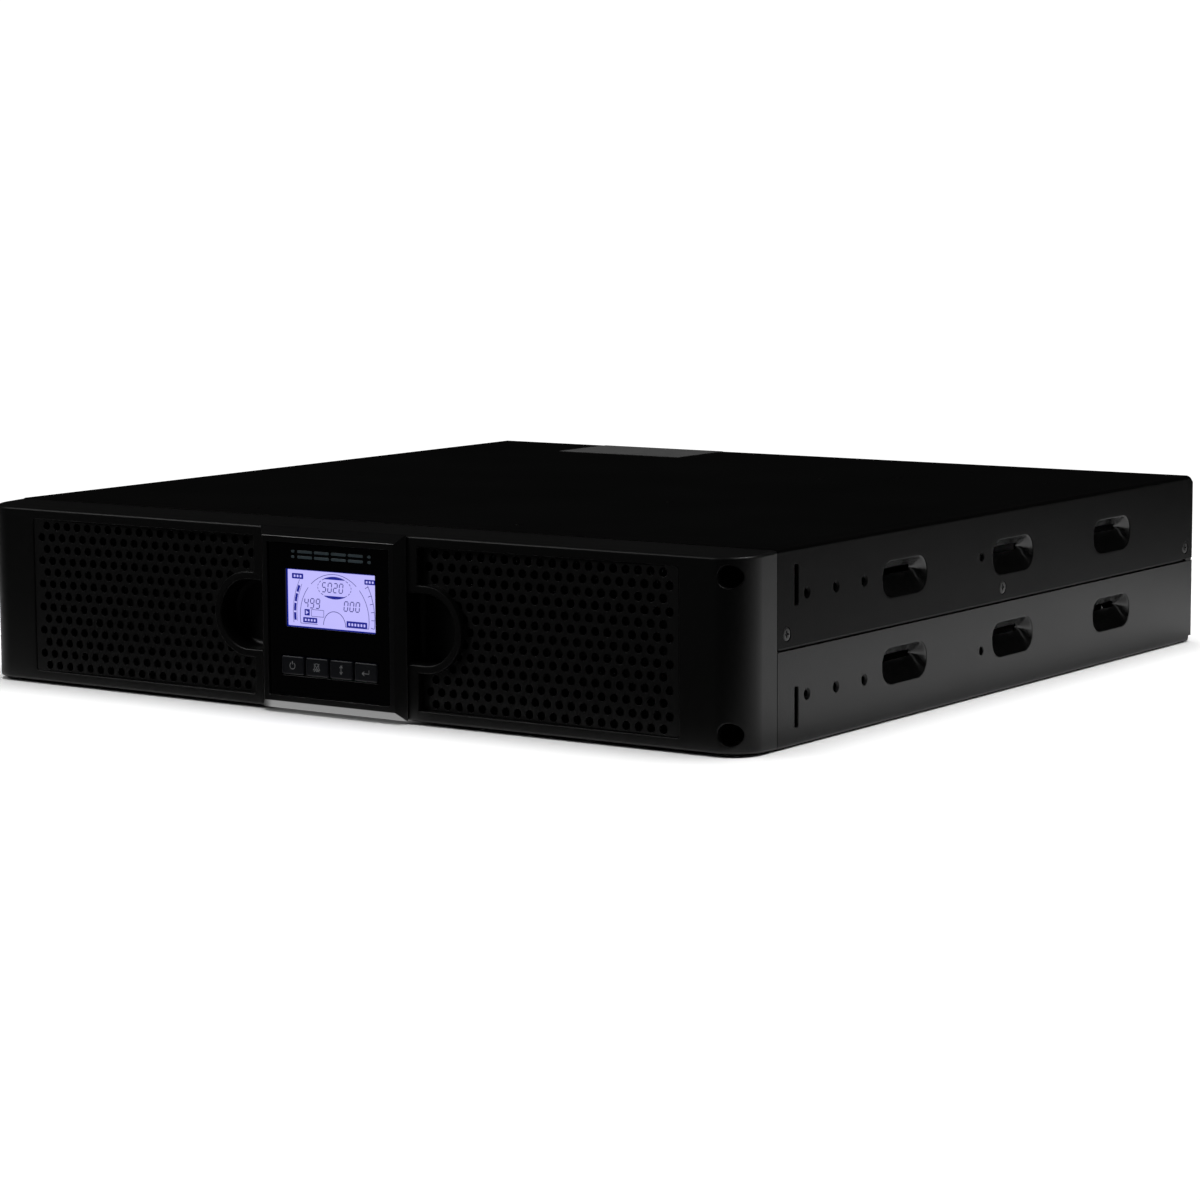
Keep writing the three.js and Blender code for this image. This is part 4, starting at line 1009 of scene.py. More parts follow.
@dataclass
class SteelHalf:
    """Half of the steel body: a sheet folded to a U for the top cover, or upside down for the base.

    Args:
        node: The CAD node that it stands for.
        lid: Whether it is the top cover.
        edge_z: Where its walls end.
        vent_z: The height of its vents.
        hole_z: The height of its bracket holes.
        slot_z: The height of its bracket slot.
        folds: Lines that each bend is made of.
        burr: The eased edge of its plain holes.
        ease: The width and depth of the first step into a hole.
        lid_cut: How far the lid's rear corners are cut back, and how far down the cut runs.
        base_cut: How far the base's rear corners are cut back.
        strip_xs: Where the strips that back the seam start.
        tab_out: How far out of its strip a tab stands in the seam.
        bowl_from: The depth from which a vent has the pressed finish.
    """

    node: str
    lid: bool
    edge_z: float
    vent_z: float
    hole_z: float
    slot_z: float
    sheet: float = 1.2
    bend: float = 1.8
    edge: float = 0.3
    folds: int = 7
    vent: Vent = Vent()
    screws: CoverScrews = CoverScrews()
    vent_ys: tuple[float, ...] = (108.5, 211.0, 314.5)
    hole_ys: tuple[float, ...] = (24.2, 48.5, 72.8)
    rail_y: float = 180.3
    slot_y: float = 15.5
    bracket_hole: float = 1.6
    rail_hole: float = 1.8
    screw_hole: float = 1.7
    slot: tuple[float, float] = (17.5, 2.8)
    burr: float = 0.3
    ease: tuple[float, float] = (0.12, 0.08)
    lid_cut: tuple[float, float] = (4.0, 3.5)
    base_cut: float = 3.0
    strip_xs: tuple[float, ...] = (216.3, -217.5)
    tab_out: float = 1.15
    bowl_from: float = 0.25
    lid_head: float = 1.6
    lid_flare: float = 0.8
    lid_sink: float = 0.7
    lid_screws: tuple[tuple[float, float], ...] = (
        (-197, 17.5),
        (-85.5, 19.3),
        (65.3, 24.2),
        (65.3, 148),
        (65.3, 289),
        (96.4, 314.6),
        (176.6, 324.5),
    )

    @property
    def flat(self) -> float:
        """Half the width of the flat part."""
        return HALF_W - self.bend

    def up(self, z: float) -> float:
        """Returns a height as the folded sheet sees it, upside down for the base."""
        return z if self.lid else HEIGHT - z

    def run(self, z: float) -> float:
        """Returns the distance along the sheet, from its middle, of a height on the wall."""
        return self.flat + self.bend * math.pi / 2 + (HEIGHT - self.bend - self.up(z))

    def place(self, s: Array, y: Array, depth: Array) -> Array:
        """Folds the flat sheet.

        A point at distance s from the middle lies on the flat part, then goes round the bend by the
        angle t = (s - flat) / radius, then runs down the wall. The vents' depth is added on the wall.

        Args:
            s: Distances across the sheet.
            y: Distances back.
            depth: Depths below the outer face.

        Returns:
            The points in space.
        """
        a, side = np.abs(s), np.sign(s)
        t = np.clip((a - self.flat) / self.bend, 0, RIGHT_ANGLE)
        wall = np.maximum(a - self.flat - self.bend * math.pi / 2, 0)
        z = HEIGHT - self.bend - wall
        for vent_y in self.vent_ys:
            rise = (z - self.up(self.vent_z)) * (1 if self.lid else -1)
            sunk = self.vent.sink(y - vent_y, rise)
            depth = depth + np.where(wall > 0, sunk, 0)
        r = self.bend - depth
        x = np.minimum(a, self.flat) + r * np.sin(t)
        z = z + r * np.cos(t)
        return np.stack([side * x, y, z if self.lid else HEIGHT - z], axis=-1)

    def outline(self) -> tuple[Outline, list[tuple[int, int]]]:
        """Draws the sheet's outline, unfolded, with its rear corners cut back.

        Returns:
            The outline, and the pairs of its points that the folds run between.
        """
        turn = np.linspace(0, RIGHT_ANGLE, self.folds)
        bends = self.flat + self.bend * turn
        end = self.run(self.edge_z)
        front = [-end, *(-bends[::-1]), *bends, end]
        if self.lid:
            back, down = self.lid_cut
            tail = [(end, DEPTH), (self.run(HEIGHT - down), DEPTH)]
            z = HEIGHT - self.bend * (1 - np.cos(turn))
            rear = list(zip(bends[::-1], (DEPTH - back + back * (HEIGHT - z) / down)[::-1]))
        else:
            side, cut_y = self.run(self.base_cut), DEPTH - self.base_cut
            tail = [(end, DEPTH), (side, DEPTH), (side, cut_y)]
            rear = [(s, cut_y) for s in bends[::-1]]
        right = tail + rear
        corners = [(s, 0.0) for s in front] + right + [(-s, y) for s, y in right[::-1]]
        n, m, last = len(front), len(right), len(tail) + self.folds - 1
        lines = [(1 + self.folds + k, n + last - k) for k in range(self.folds)]
        lines += [(self.folds - k, n + 2 * m - 1 - last + k) for k in range(self.folds)]
        return polygon(corners), lines

    def openings(self) -> list[Opening]:
        """Lists the holes of the right-hand wall.

        Returns:
            The holes, on the unfolded sheet.
        """
        row, easy = self.run(self.hole_z), self.burr
        found = [Opening(circle(row, y, self.bracket_hole, 16), 1.0, 0.7) for y in self.hole_ys]
        found.append(Opening(circle(row, self.rail_y, self.rail_hole, 16), easy, easy))
        slot = rounded(self.run(self.slot_z), self.slot_y, *self.slot, 0.7, 3)
        found.append(Opening(slot, 0.25, 0.25))
        spot = self.run(self.vent_z + self.vent.slit_rise)
        for y in self.vent_ys:
            slit = rounded(spot, y, self.vent.slit_height, self.vent.slit_length, 1.3, 4)
            found.append(Opening(self._divided(slit, 2.5), easy, easy))
        if self.lid:
            spot = self.run(self.screws.z)
            found += [Opening(circle(spot, y, self.screw_hole, 20), 1.5, 1.0) for y in self.screws.ys]
        return found

    @staticmethod
    def _divided(shape: Outline, longest: float) -> Outline:
        """Puts more points on an outline's long runs.

        Args:
            shape: The outline.
            longest: The longest run that stays whole.

        Returns:
            The divided outline, with normals shared out along each run.
        """
        points, normals = [], []
        ahead = np.roll(shape.points, -1, axis=0)
        ahead_n = np.roll(shape.normals, -1, axis=0)
        for p, q, n, m in zip(shape.points, ahead, shape.normals, ahead_n):
            count = max(1, math.ceil(float(np.linalg.norm(q - p)) / longest))
            t = (np.arange(count) / count)[:, None]
            points.append(p + (q - p) * t)
            normals.append(n + (m - n) * t)
        return Outline(np.concatenate(points), np.concatenate(normals))

    def build(self) -> bpy.types.Object:
        """Builds the folded sheet with its vents and holes.

        Returns:
            The piece.
        """
        shell = Shell()
        outline, lines = self.outline()
        over = round_over(self.edge)
        shell.sweep(outline, self.place, [(-o, d) for o, d in over] + [(0.0, self.sheet)])
        face, inner = [outline.grown(-self.edge).points], [outline.points]
        wider, deeper = self.ease
        for opening in self.openings():
            rim = opening.flare + wider
            steps = [(rim, 0.0), (opening.flare, deeper), (0.0, opening.sink), (0.0, self.sheet)]
            for hole in (opening.shape, opening.shape.mirrored()):
                shell.sweep(hole, self.place, steps)
                face.append(hole.grown(rim).points)
                inner.append(hole.points)
        if self.lid:
            for x, y in self.lid_screws:
                head = circle(x, y, self.lid_head, 14)
                shell.sweep(head, self.place, [(self.lid_flare, 0.0), (0.0, self.lid_sink)])
                shell.fill([head.points], self.place, self.lid_sink)
                face.append(head.grown(self.lid_flare).points)
        rings = self.vent.rings()[:, ::-1]
        spots = [rings + np.array([self.run(self.vent_z), y]) for y in self.vent_ys]
        extra = np.concatenate(spots + [s * np.array([-1.0, 1.0]) for s in spots])
        shell.fill(face, self.place, 0.0, extra, lines)
        shell.fill(inner, self.place, self.sheet, extra, lines)
        if not self.lid:
            self._back_the_seam(shell)
        look = Look.COVER_STEEL if self.lid else Look.STEEL
        made = shell.finish(self.node + "_sheet", [look.material, Look.PRESSED.material])
        self.polish_bowls(made)
        stands_for(made, "chassis", [self.node])
        return made

    def _back_the_seam(self, shell: Shell) -> None:
        """Adds the strip behind each seam, with a tab that closes the seam's rear end.

        Args:
            shell: The shell to add to.
        """
        for x in self.strip_xs:
            tab = x + math.copysign(self.tab_out, x)
            shell.block((x, 3, 38), (x + self.sheet, 406.4, 52.6), 0.2)
            shell.block((tab, 400, 42.45), (tab + self.sheet, 406.8, 43.55), 0.2)

    def polish_bowls(self, made: bpy.types.Object) -> None:
        """Gives the pressed bowls the second finish, where the walls sink more than a little.

        Args:
            made: The folded sheet.
        """
        faces = made.data.polygons
        middle = np.empty(len(faces) * 3)
        faces.foreach_get("center", middle)
        middle = middle.reshape(-1, 3) / MM - np.array([0.0, DATUM_Y, 0.0])
        rise = middle[:, 2] - self.vent_z
        sunk = np.max([self.vent.sink(middle[:, 1] - y, rise) for y in self.vent_ys], axis=0)
        on_wall = np.abs(middle[:, 0]) > HALF_W - 10.0
        pressed = (sunk > self.bowl_from) & on_wall
        faces.foreach_set("material_index", pressed.astype(np.int32))


@dataclass
class FanGuard:
    """A wire guard over a fan: rings of round wire, and a cross whose wires end in screw eyes."""

    rings: tuple[float, ...] = (14.0, 26.0, 38.5)
    wire: float = 0.78
    cross_wire: float = 0.9
    reach: float = 47.8
    eye: float = 2.6

    @staticmethod
    def ring(x: float, y: float, z: float, radius: float, count: int) -> Array:
        """Returns points on a circle that stands across Y."""
        return np.insert(circle(x, z, radius, count).points, 1, y, axis=1)

    def build(self) -> None:
        """Builds both guards, each in its CAD guard's place."""
        thin = self.wire * self.cross_wire
        along = np.linspace(-self.reach, self.reach, 9)
        for word in ("inner", "outer"):
            low, high = (np.array(corner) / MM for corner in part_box(f"fan_guard_{word}"))
            x, z = (low[0] + high[0]) / 2, (low[2] + high[2]) / 2
            y = low[1] - DATUM_Y + self.wire
            shell = Shell()
            for radius in self.rings:
                shell.tube(self.ring(x, y, z, radius, 56), self.wire, closed=True)
            for turn in (math.pi / 4, 3 * math.pi / 4):
                c, s = math.cos(turn), math.sin(turn)
                line = np.stack([x + along * c, np.full_like(along, y), z + along * s], axis=1)
                shell.tube(line, thin)
                for far in (-self.reach - self.eye, self.reach + self.eye):
                    eye = self.ring(x + far * c, y, z + far * s, self.eye, 20)
                    shell.tube(eye, thin, 8, closed=True)
            made = shell.finish(f"fan_guard_{word}_wires", [Look.BARE.material])
            stands_for(made, "chassis", [f"fan_guard_{word}"])


# ------------------------------------------------------------------ bezel


def notched_window(
    ends: tuple[float, float], half: float, corners: tuple[float, float], notch: Arc, steps: int
) -> Outline:
    """Draws a window with a round notch in its side towards the display.

    Args:
        ends: Where it starts and where it ends.
        half: Half its height.
        corners: The radius of its corners at the start and at the end.
        notch: The notch's arc.
        steps: Steps to a right angle.

    Returns:
        The outline.
    """
    (a, b), (near, far), tip, cut = ends, corners, 0.4, notch.radius
    return through_arcs(
        [
            Arc(a + near, near - half, near, 180, 270),
            Arc(b - far, far - half, far, 270, 360),
            Arc(b - far, half - far, far, 0, 90),
            Arc(a + near, half - near, near, 90, 180),
            Arc(a + tip, cut + tip, tip, 180, 270),
            notch,
            Arc(a + tip, -cut - tip, tip, 90, 180),
        ],
        steps,
    )


@dataclass
class Bezel:
    """The front bezel: a shell with round ends, two windows, two finger pockets and a bore."""

    face_y: float = -27.8
    slope: float = 1.0 / 156.5
    corner: float = 15.0
    corner_x: float = 204.0
    corner_y: float = -11.8
    rear_y: float = -0.3
    half: float = 42.85
    taper: float = 1.05
    taper_over: float = 28.8
    turn_steps: int = 17
    wall: float = 2.5
    roof: float = 2.2
    edge: float = 1.3
    bore: float = 37.0
    tube: float = 1.8
    tube_depth: float = 24.8
    window_in: float = 47.5
    window_out: float = 186.5
    window_half: float = 36.8
    window_edge: float = 0.55
    window_lip: float = 1.6
    window_floor: float = 7.0
    grille_in: float = 3.7
    grille_slant: float = 3.3
    lip: float = 19.8
    pocket_x: float = 51.8
    pocket: float = 16.0
    pocket_in: float = 41.0
    pocket_depth: float = 11.5
    pocket_edge: float = 0.9
    pocket_round: float = 2.5
    pocket_wall: float = 0.8
    pocket_floor: float = 1.5
    access_x: float = 210.5
    access_z: float = 33.6
    access: float = 5.0
    access_edge: float = 0.45
    access_sides: int = 32

    @property
    def length(self) -> float:
        """The distance along the face from its middle to its rear edge."""
        return self.corner_x + self.corner * math.pi / 2 + self.rear_y - self.corner_y

    def plan(self, s: Array, inset: Array) -> tuple[Array, Array]:
        """Walks along the bezel seen from above.

        The face falls back by the slope past the windows' inner edges, then the corner turns by the
        angle (s - corner start) / radius, then the side runs back.

        Args:
            s: Distances along the face from its middle.
            inset: Distances in from the face.

        Returns:
            x and y of each point.
        """
        a = np.abs(s)
        t = np.clip((a - self.corner_x) / self.corner, 0, RIGHT_ANGLE)
        back = np.maximum(a - self.corner_x - self.corner * math.pi / 2, 0)
        r = self.corner - inset
        sloping = np.clip(a - self.window_in, 0, self.corner_x - self.window_in)
        flat = self.face_y + sloping * self.slope
        x = np.minimum(a, self.corner_x) + r * np.sin(t)
        y = np.where(a <= self.corner_x, flat + inset, self.corner_y - r * np.cos(t) + back)
        return np.sign(s) * x, y

    def half_height(self, y: Array) -> Array:
        """Returns half the bezel's height, which falls towards the face."""
        return self.half + self.taper * np.minimum(y, 0) / self.taper_over

    def place(self, s: Array, z: Array, depth: Array) -> Array:
        """Returns points of the face from a distance along it, a height from its middle and a depth."""
        x, y = self.plan(s, depth)
        return np.stack([x, y, MID_Z + z], axis=-1)

    def turn(self) -> Array:
        """Returns the distances along the face at which the corner bends."""
        return self.corner_x + self.corner * np.linspace(0, RIGHT_ANGLE, self.turn_steps)

    def stations(self) -> Array:
        """Returns the distances along the face at which it bends, and some between."""
        half = np.concatenate([[self.window_in, 117.0], self.turn(), [self.length]])
        return np.concatenate([-half[::-1], half])

    def window(self) -> Outline:
        """Draws the right-hand window, notched by the lip round the finger pocket.

        Returns:
            The outline.
        """
        notch = Arc(self.pocket_x, 0, self.lip, 90, -90)
        ends = (self.window_in, self.window_out)
        return notched_window(ends, self.window_half, (0.8, 1.5), notch, 12)

    def pocket_mouth(self) -> Outline:
        """Draws the right-hand finger pocket's mouth, a D open towards the display.

        Returns:
            The outline.
        """
        r, a = self.pocket, self.pocket_in
        return through_arcs(
            [
                Arc(self.pocket_x, 0, r, -90, 90),
                Arc(a + 0.5, r - 0.5, 0.5, 90, 180),
                Arc(a + 0.5, 0.5 - r, 0.5, 180, 270),
            ],
            12,
        )

    def grille_sink(self, x: Array) -> Array:
        """Returns how deep the grille lies behind the face, less and less towards the outer end."""
        width = self.window_out - self.window_in
        return self.grille_in - self.grille_slant * (np.abs(x) - self.window_in) / width

    def on_wall(self, radius: float, wall: float) -> Outline:
        """Draws a circle about the access hole's axis on a round end's wall, unrolled.

        A point of the circle at x meets a wall of radius R at the angle whose sine is
        (x - corner centre) / R.

        Args:
            radius: The circle's radius.
            wall: The wall's radius.

        Returns:
            The outline.
        """
        ring = circle(self.access_x, 0, radius, self.access_sides)
        sine = np.clip((ring.points[:, 0] - self.corner_x) / wall, -0.999, 0.999)
        s = self.corner_x + self.corner * np.arcsin(sine)
        return Outline(np.stack([s, ring.points[:, 1]], axis=1), ring.normals)

    def hole_rows(self) -> tuple[list[Array], Outline, Outline]:
        """Works out the access hole, which runs straight back through the round end.

        Returns:
            The rows of points down the hole, and its outline on the outer and on the inner wall.
        """
        outer = self.on_wall(self.access + self.access_edge, self.corner)
        inner = self.on_wall(self.access, self.corner - self.wall)
        rings = []
        for wider, depth in ((self.access_edge, 0.0), (0.2, 0.08), (0.05, 0.25), (0.0, 0.5)):
            rings.append((self.on_wall(self.access + wider, self.corner - depth).points, depth))
        rings.append((inner.points, self.wall))
        rows = [self.place(p[:, 0], p[:, 1], np.full(len(p), depth)) for p, depth in rings]
        return rows, outer, inner

    def build(self) -> bpy.types.Object:
        """Builds the bezel as one closed shell.

        Returns:
            The piece.
        """
        shell = Shell()
        s = self.stations()
        face, inner = [self._border(s, self.edge)], [self._border(s, self.roof)]
        self._windows(shell, face, inner)
        self._pockets(shell, face, inner)
        bore = circle(0, 0, self.bore, 72)
        rim = [(0, self.tube_depth), (self.tube, self.tube_depth), (self.tube, self.wall)]
        shell.sweep(bore, self.place, round_over(0.5) + rim)
        face.append(bore.grown(0.5).points)
        inner.append(bore.grown(self.tube).points)
        rows, outer_hole, inner_hole = self.hole_rows()
        heights = (self.access_z, -self.access_z)
        for z in heights:
            shell.grid(np.stack([r + np.array([0, 0, z]) for r in rows]))
            face.append(outer_hole.points + np.array([0, z]))
            inner.append(inner_hole.points + np.array([0, z]))
        grid = np.stack(np.meshgrid(self.turn(), np.linspace(-39, 39, 34)), axis=-1).reshape(-1, 2)
        spots = [np.array([[210.9, z]]) for z in heights]
        away = np.min([np.linalg.norm(grid - spot, axis=1) for spot in spots], axis=0)
        near = outer_hole.grown(0.7).points
        rings = [near + np.array([0, z]) for z in heights]
        extra = np.concatenate([grid[away > 7.4], *rings, grid * np.array([-1.0, 1.0])])
        shell.fill(face, self.place, 0.0, extra)
        shell.fill(inner, self.place, self.wall, extra[np.abs(extra[:, 1]) < 38.5])
        self._caps(shell, s)
        made = shell.finish("front_bezel_shell", [Look.BEZEL.material])
        stands_for(made, "bezel", ["front_bezel"])
        return made

    def _border(self, s: Array, fall: float) -> Array:
        """Joins the face's bottom and top edges.

        Args:
            s: Distances along the face.
            fall: How far each edge is drawn in.

        Returns:
            The closed loop.
        """
        half = self.half_height(self.plan(s, np.zeros_like(s))[1])
        bottom, top = np.stack([s, fall - half], axis=1), np.stack([s, half - fall], axis=1)
        return np.concatenate([bottom, top[::-1]])

    def _windows(self, shell: Shell, face: list[Array], inner: list[Array]) -> None:
        """Sweeps the rims of both windows.

        Args:
            shell: The shell to add to.
            face: The loops of the outer face, which get the windows' too.
            inner: The loops of the inner face.
        """
        window = self.window()
        edge, lip = self.window_edge, self.window_lip
        for shape in (window, window.mirrored()):
            p = shape.points
            on_lip = np.hypot(np.abs(p[:, 0]) - self.pocket_x, p[:, 1]) < self.lip + 0.6
            sunk = self.grille_sink(p[:, 0])
            floor = np.where(on_lip, sunk + 0.3, self.window_floor)
            over = [(o, np.minimum(d, sunk + 0.1)) for o, d in round_over(edge)]
            shell.sweep(shape, self.place, over + [(0, floor), (lip, floor), (lip, self.wall)])
            face.append(shape.grown(edge).points)
            inner.append(shape.grown(lip).points)

    def _pockets(self, shell: Shell, face: list[Array], inner: list[Array]) -> None:
        """Makes both finger pockets, with a round floor.

        With t from 0 to a right angle, the floor's round is at the offset -r (1 - cos t) and at the
        depth d - r (1 - sin t).

        Args:
            shell: The shell to add to.
            face: The loops of the outer face, which get the pockets' too.
            inner: The loops of the inner face.
        """
        mouth = self.pocket_mouth()
        d, r, wall = self.pocket_depth, self.pocket_round, self.pocket_wall
        angles = np.linspace(0, RIGHT_ANGLE, 5)
        turn = [(-r * (1 - math.cos(a)), d - r * (1 - math.sin(a))) for a in angles]
        behind = d + self.pocket_floor
        for shape in (mouth, mouth.mirrored()):
            shell.sweep(shape, self.place, round_over(self.pocket_edge, 4) + turn)
            shell.fill([shape.grown(-r).points], self.place, d)
            shell.sweep(shape, self.place, [(wall, self.wall), (wall, behind)])
            shell.fill([shape.grown(wall).points], self.place, behind)
            face.append(shape.grown(self.pocket_edge).points)
            inner.append(shape.grown(wall).points)

    def _caps(self, shell: Shell, s: Array) -> None:
        """Closes the bezel's top and bottom, inside and out, and its rear rim.

        The rounded edge leaves the face at the angle t: it is e (1 - cos t) in from the face and
        e (1 - sin t) below the top.

        Args:
            shell: The shell to add to.
            s: Distances along the face.
        """
        face_y = self.plan(s, np.zeros_like(s))[1]
        inner_x, inner_y = self.plan(s, np.full_like(s, self.wall))
        steps, first = np.unique(inner_y, return_index=True)
        roof = self.half_height(face_y) - self.roof
        rims = []
        for sign in (1, -1):

            def over(u: Array, v: Array, d: Array) -> Array:
                """Returns points of the sloping top."""
                return np.stack([u, v, MID_Z + sign * self.half_height(v)], axis=-1)

            def under(u: Array, v: Array, d: Array) -> Array:
                """Returns points of the ceiling."""
                return np.stack([u, v, MID_Z + sign * np.interp(v, steps, roof[first])], axis=-1)

            rows = []
            for t in np.linspace(0, RIGHT_ANGLE, 7):
                x, y = self.plan(s, np.full_like(s, self.edge * (1 - math.cos(t))))
                z = self.half_height(y if t else face_y) - self.edge * (1 - math.sin(t))
                rows.append(np.stack([x, y, MID_Z + sign * z], axis=-1))
            shell.grid(np.stack(rows), wrap=False)
            shell.fill([rows[-1][:, :2]], over)
            ceiling = np.stack([inner_x, inner_y, MID_Z + sign * roof], axis=-1)
            shell.fill([ceiling[:, :2]], under)
            right = np.stack([r[-1] for r in rows])
            left = np.stack([r[0] for r in rows])
            rims.append((right, left, ceiling[-1], ceiling[0]))
        (up_r, up_l, in_ur, in_ul), (dn_r, dn_l, in_dr, in_dl) = rims
        outer = np.concatenate([dn_r[::-1], up_r, up_l[::-1], dn_l])[:, [0, 2]]
        hole = np.stack([in_dr, in_ur, in_ul, in_dl])[:, [0, 2]]
        shell.fill([outer, hole], Plane((0, self.rear_y, 0), (1, 0, 0), (0, 0, 1), (0, 1, 0)))


@dataclass
class Grille:
    """A pierced plate behind each window, slanting forward towards the outer end."""

    bezel: Bezel
    thickness: float = 2.0
    hole: float = 2.05
    pitch: float = 6.5
    row: float = 5.63
    rows: int = 13
    notch: float = 17.0
    keep: float = 19.4
    sides: int = 14
    gap: float = 0.15
    rim: float = 0.22
    row_starts: tuple[float, float] = (178.25, 181.5)
    row_counts: tuple[int, int] = (20, 21)

    def place(self, s: Array, z: Array, depth: Array) -> Array:
        """Returns points of the slanting plate."""
        return self.bezel.place(s, z, self.bezel.grille_sink(s) + depth)

    def outline(self) -> Outline:
        """Draws the plate, notched round the finger pocket.

        Returns:
            The outline.
        """
        bezel, gap = self.bezel, self.gap
        notch = Arc(bezel.pocket_x, 0, self.notch, 90, -90)
        ends = (bezel.window_in + gap, bezel.window_out - gap)
        return notched_window(ends, bezel.window_half - gap, (0.7, 1.4), notch, 8)

    def centres(self) -> Array:
        """Lists the holes' centres: rows set half a pitch apart by turns, clear of the pocket.

        Returns:
            The centres, one row of two numbers each.
        """
        found = []
        for i in range(self.rows):
            x = self.row_starts[i % 2] - self.pitch * np.arange(self.row_counts[i % 2])
            z = np.full_like(x, (i - (self.rows - 1) / 2) * self.row)
            found.append(np.stack([x, z], axis=1))
        every = np.concatenate(found)
        away = np.hypot(every[:, 0] - self.bezel.pocket_x, every[:, 1])
        return every[(away > self.keep) & (every[:, 0] > self.bezel.window_in + 3)]

    def build(self) -> None:
        """Builds the right-hand grille and its mirror image."""
        right = [circle(x, z, self.hole, self.sides) for x, z in self.centres()]
        outer = self.outline()
        rim = [(self.rim, 0.0), (0.08, 0.06), (0.0, self.rim), (0.0, self.thickness)]
        border = [(-self.gap, 0), (0, self.gap), (0, self.thickness)]
        for word in ("right", "left"):
            holes = right if word == "right" else [hole.mirrored() for hole in right]
            plate = outer if word == "right" else outer.mirrored()
            shell = Shell()
            for hole in holes:
                shell.sweep(hole, self.place, rim)
            shell.sweep(plate, self.place, border)
            front = [plate.grown(-self.gap).points, *[hole.grown(self.rim).points for hole in holes]]
            shell.fill(front, self.place, 0.0)
            shell.fill([plate.points, *[hole.points for hole in holes]], self.place, self.thickness)
            made = shell.finish(f"grille_{word}_plate", [Look.GRILLE.material])
            stands_for(made, "bezel", [f"grille_{word}"])


# ------------------------------------------------------------------ display


class Bar(Enum):
    """The seven bars of a digit: start and end in half widths and half heights."""

    TOP = ((-1, 1), (1, 1))
    MIDDLE = ((-1, 0), (1, 0))
    BOTTOM = ((-1, -1), (1, -1))
    LEFT_UP = ((-1, 0), (-1, 1))
    LEFT_DOWN = ((-1, -1), (-1, 0))
    RIGHT_UP = ((1, 0), (1, 1))
    RIGHT_DOWN = ((1, -1), (1, 0))


DIGIT = {
    0: "TOP BOTTOM LEFT_UP LEFT_DOWN RIGHT_UP RIGHT_DOWN",
    2: "TOP MIDDLE BOTTOM LEFT_DOWN RIGHT_UP",
    4: "MIDDLE LEFT_UP RIGHT_UP RIGHT_DOWN",
    5: "TOP MIDDLE BOTTOM LEFT_UP RIGHT_DOWN",
    9: "TOP MIDDLE BOTTOM LEFT_UP RIGHT_UP RIGHT_DOWN",
}


class Ink(IntEnum):
    """The looks of the screen, in the order of its materials."""

    PAPER = 0
    DARK = 1
    FAINT = 2
    RIM = 3


@dataclass(frozen=True)
class ScreenArc:
    """An arc on the screen: its middle, radius, start and end in degrees, width, ink and flatness."""

    u: float
    v: float
    radius: float
    start: float
    end: float
    width: float
    ink: Ink = Ink.FAINT
    ratio: float = 1.0

    def points(self) -> Array:
        """Works out the arc: its middle plus the radius times (cos t, ratio times sin t).

        Returns:
            Its points, one to about 7 degrees.
        """
        count = max(3, int(abs(self.end - self.start) / 7))
        t = np.radians(np.linspace(self.start, self.end, count))
        u = self.u + self.radius * np.cos(t)
        return np.stack([u, self.v + self.radius * self.ratio * np.sin(t)], axis=1)


LEFT_SCALE = (
    ScreenArc(9.2, -7, 30.8, 186, 179.5, 1.25, Ink.DARK),
    ScreenArc(9.2, -7, 30.8, 178, 171.5, 1.25, Ink.DARK),
    ScreenArc(9.2, -7, 30.8, 170, 163, 1.25, Ink.DARK),
    ScreenArc(9.2, -7, 30.8, 161.5, 155.5, 1.25, Ink.DARK),
    ScreenArc(9.2, -7, 31.9, 188, 151, 0.22),
    ScreenArc(9.2, -7, 29.8, 187, 153, 0.18),
)
RIGHT_SCALE = ScreenArc(-6.5, -7, 31.2, -8, 29, 0.28)
RIGHT_TICKS = (-8, -1, 6, 13, 20, 28)
DIAL = (
    ScreenArc(1.4, -8, 20, 190, 139, 0.26),
    ScreenArc(1.4, -8, 20, 132, 50, 0.26),
    ScreenArc(1.4, -8, 20, 43, -10, 0.26),
)
HORIZON = ((-18.3, -8.4), (7.6, 21.1))
DASHES = tuple(ScreenArc(1.6, 5.8, 9.7, 18 * k, 18 * k + 11, 0.28, Ink.FAINT, 0.49) for k in range(20))
HUB = ScreenArc(1.4, -11.4, 6.4, 180, 0, 0.3)
NUMBERS = (((5, 0, 2, 0), -4.4, 5.8, 4.2), ((4, 9, 9), -14.9, -2.0, 4.3), ((0, 0, 0), 8.2, -2.1, 4.3))
PLATES = (
    (-19.8, 10.0, 6.6, 2.5),
    (22.0, 9.7, 6.0, 2.3),
    (-12.8, -9.8, 8.2, 2.4),
    (14.3, -10.2, 11.8, 3.0),
)
BADGE_BARS = ((-20.6, 2.0), (-13.6, 8.8), (-3.8, 8.8), (6.0, 8.8), (15.8, 8.8), (23.6, 2.0))
BADGE_ROWS = (31.4, 28.9)


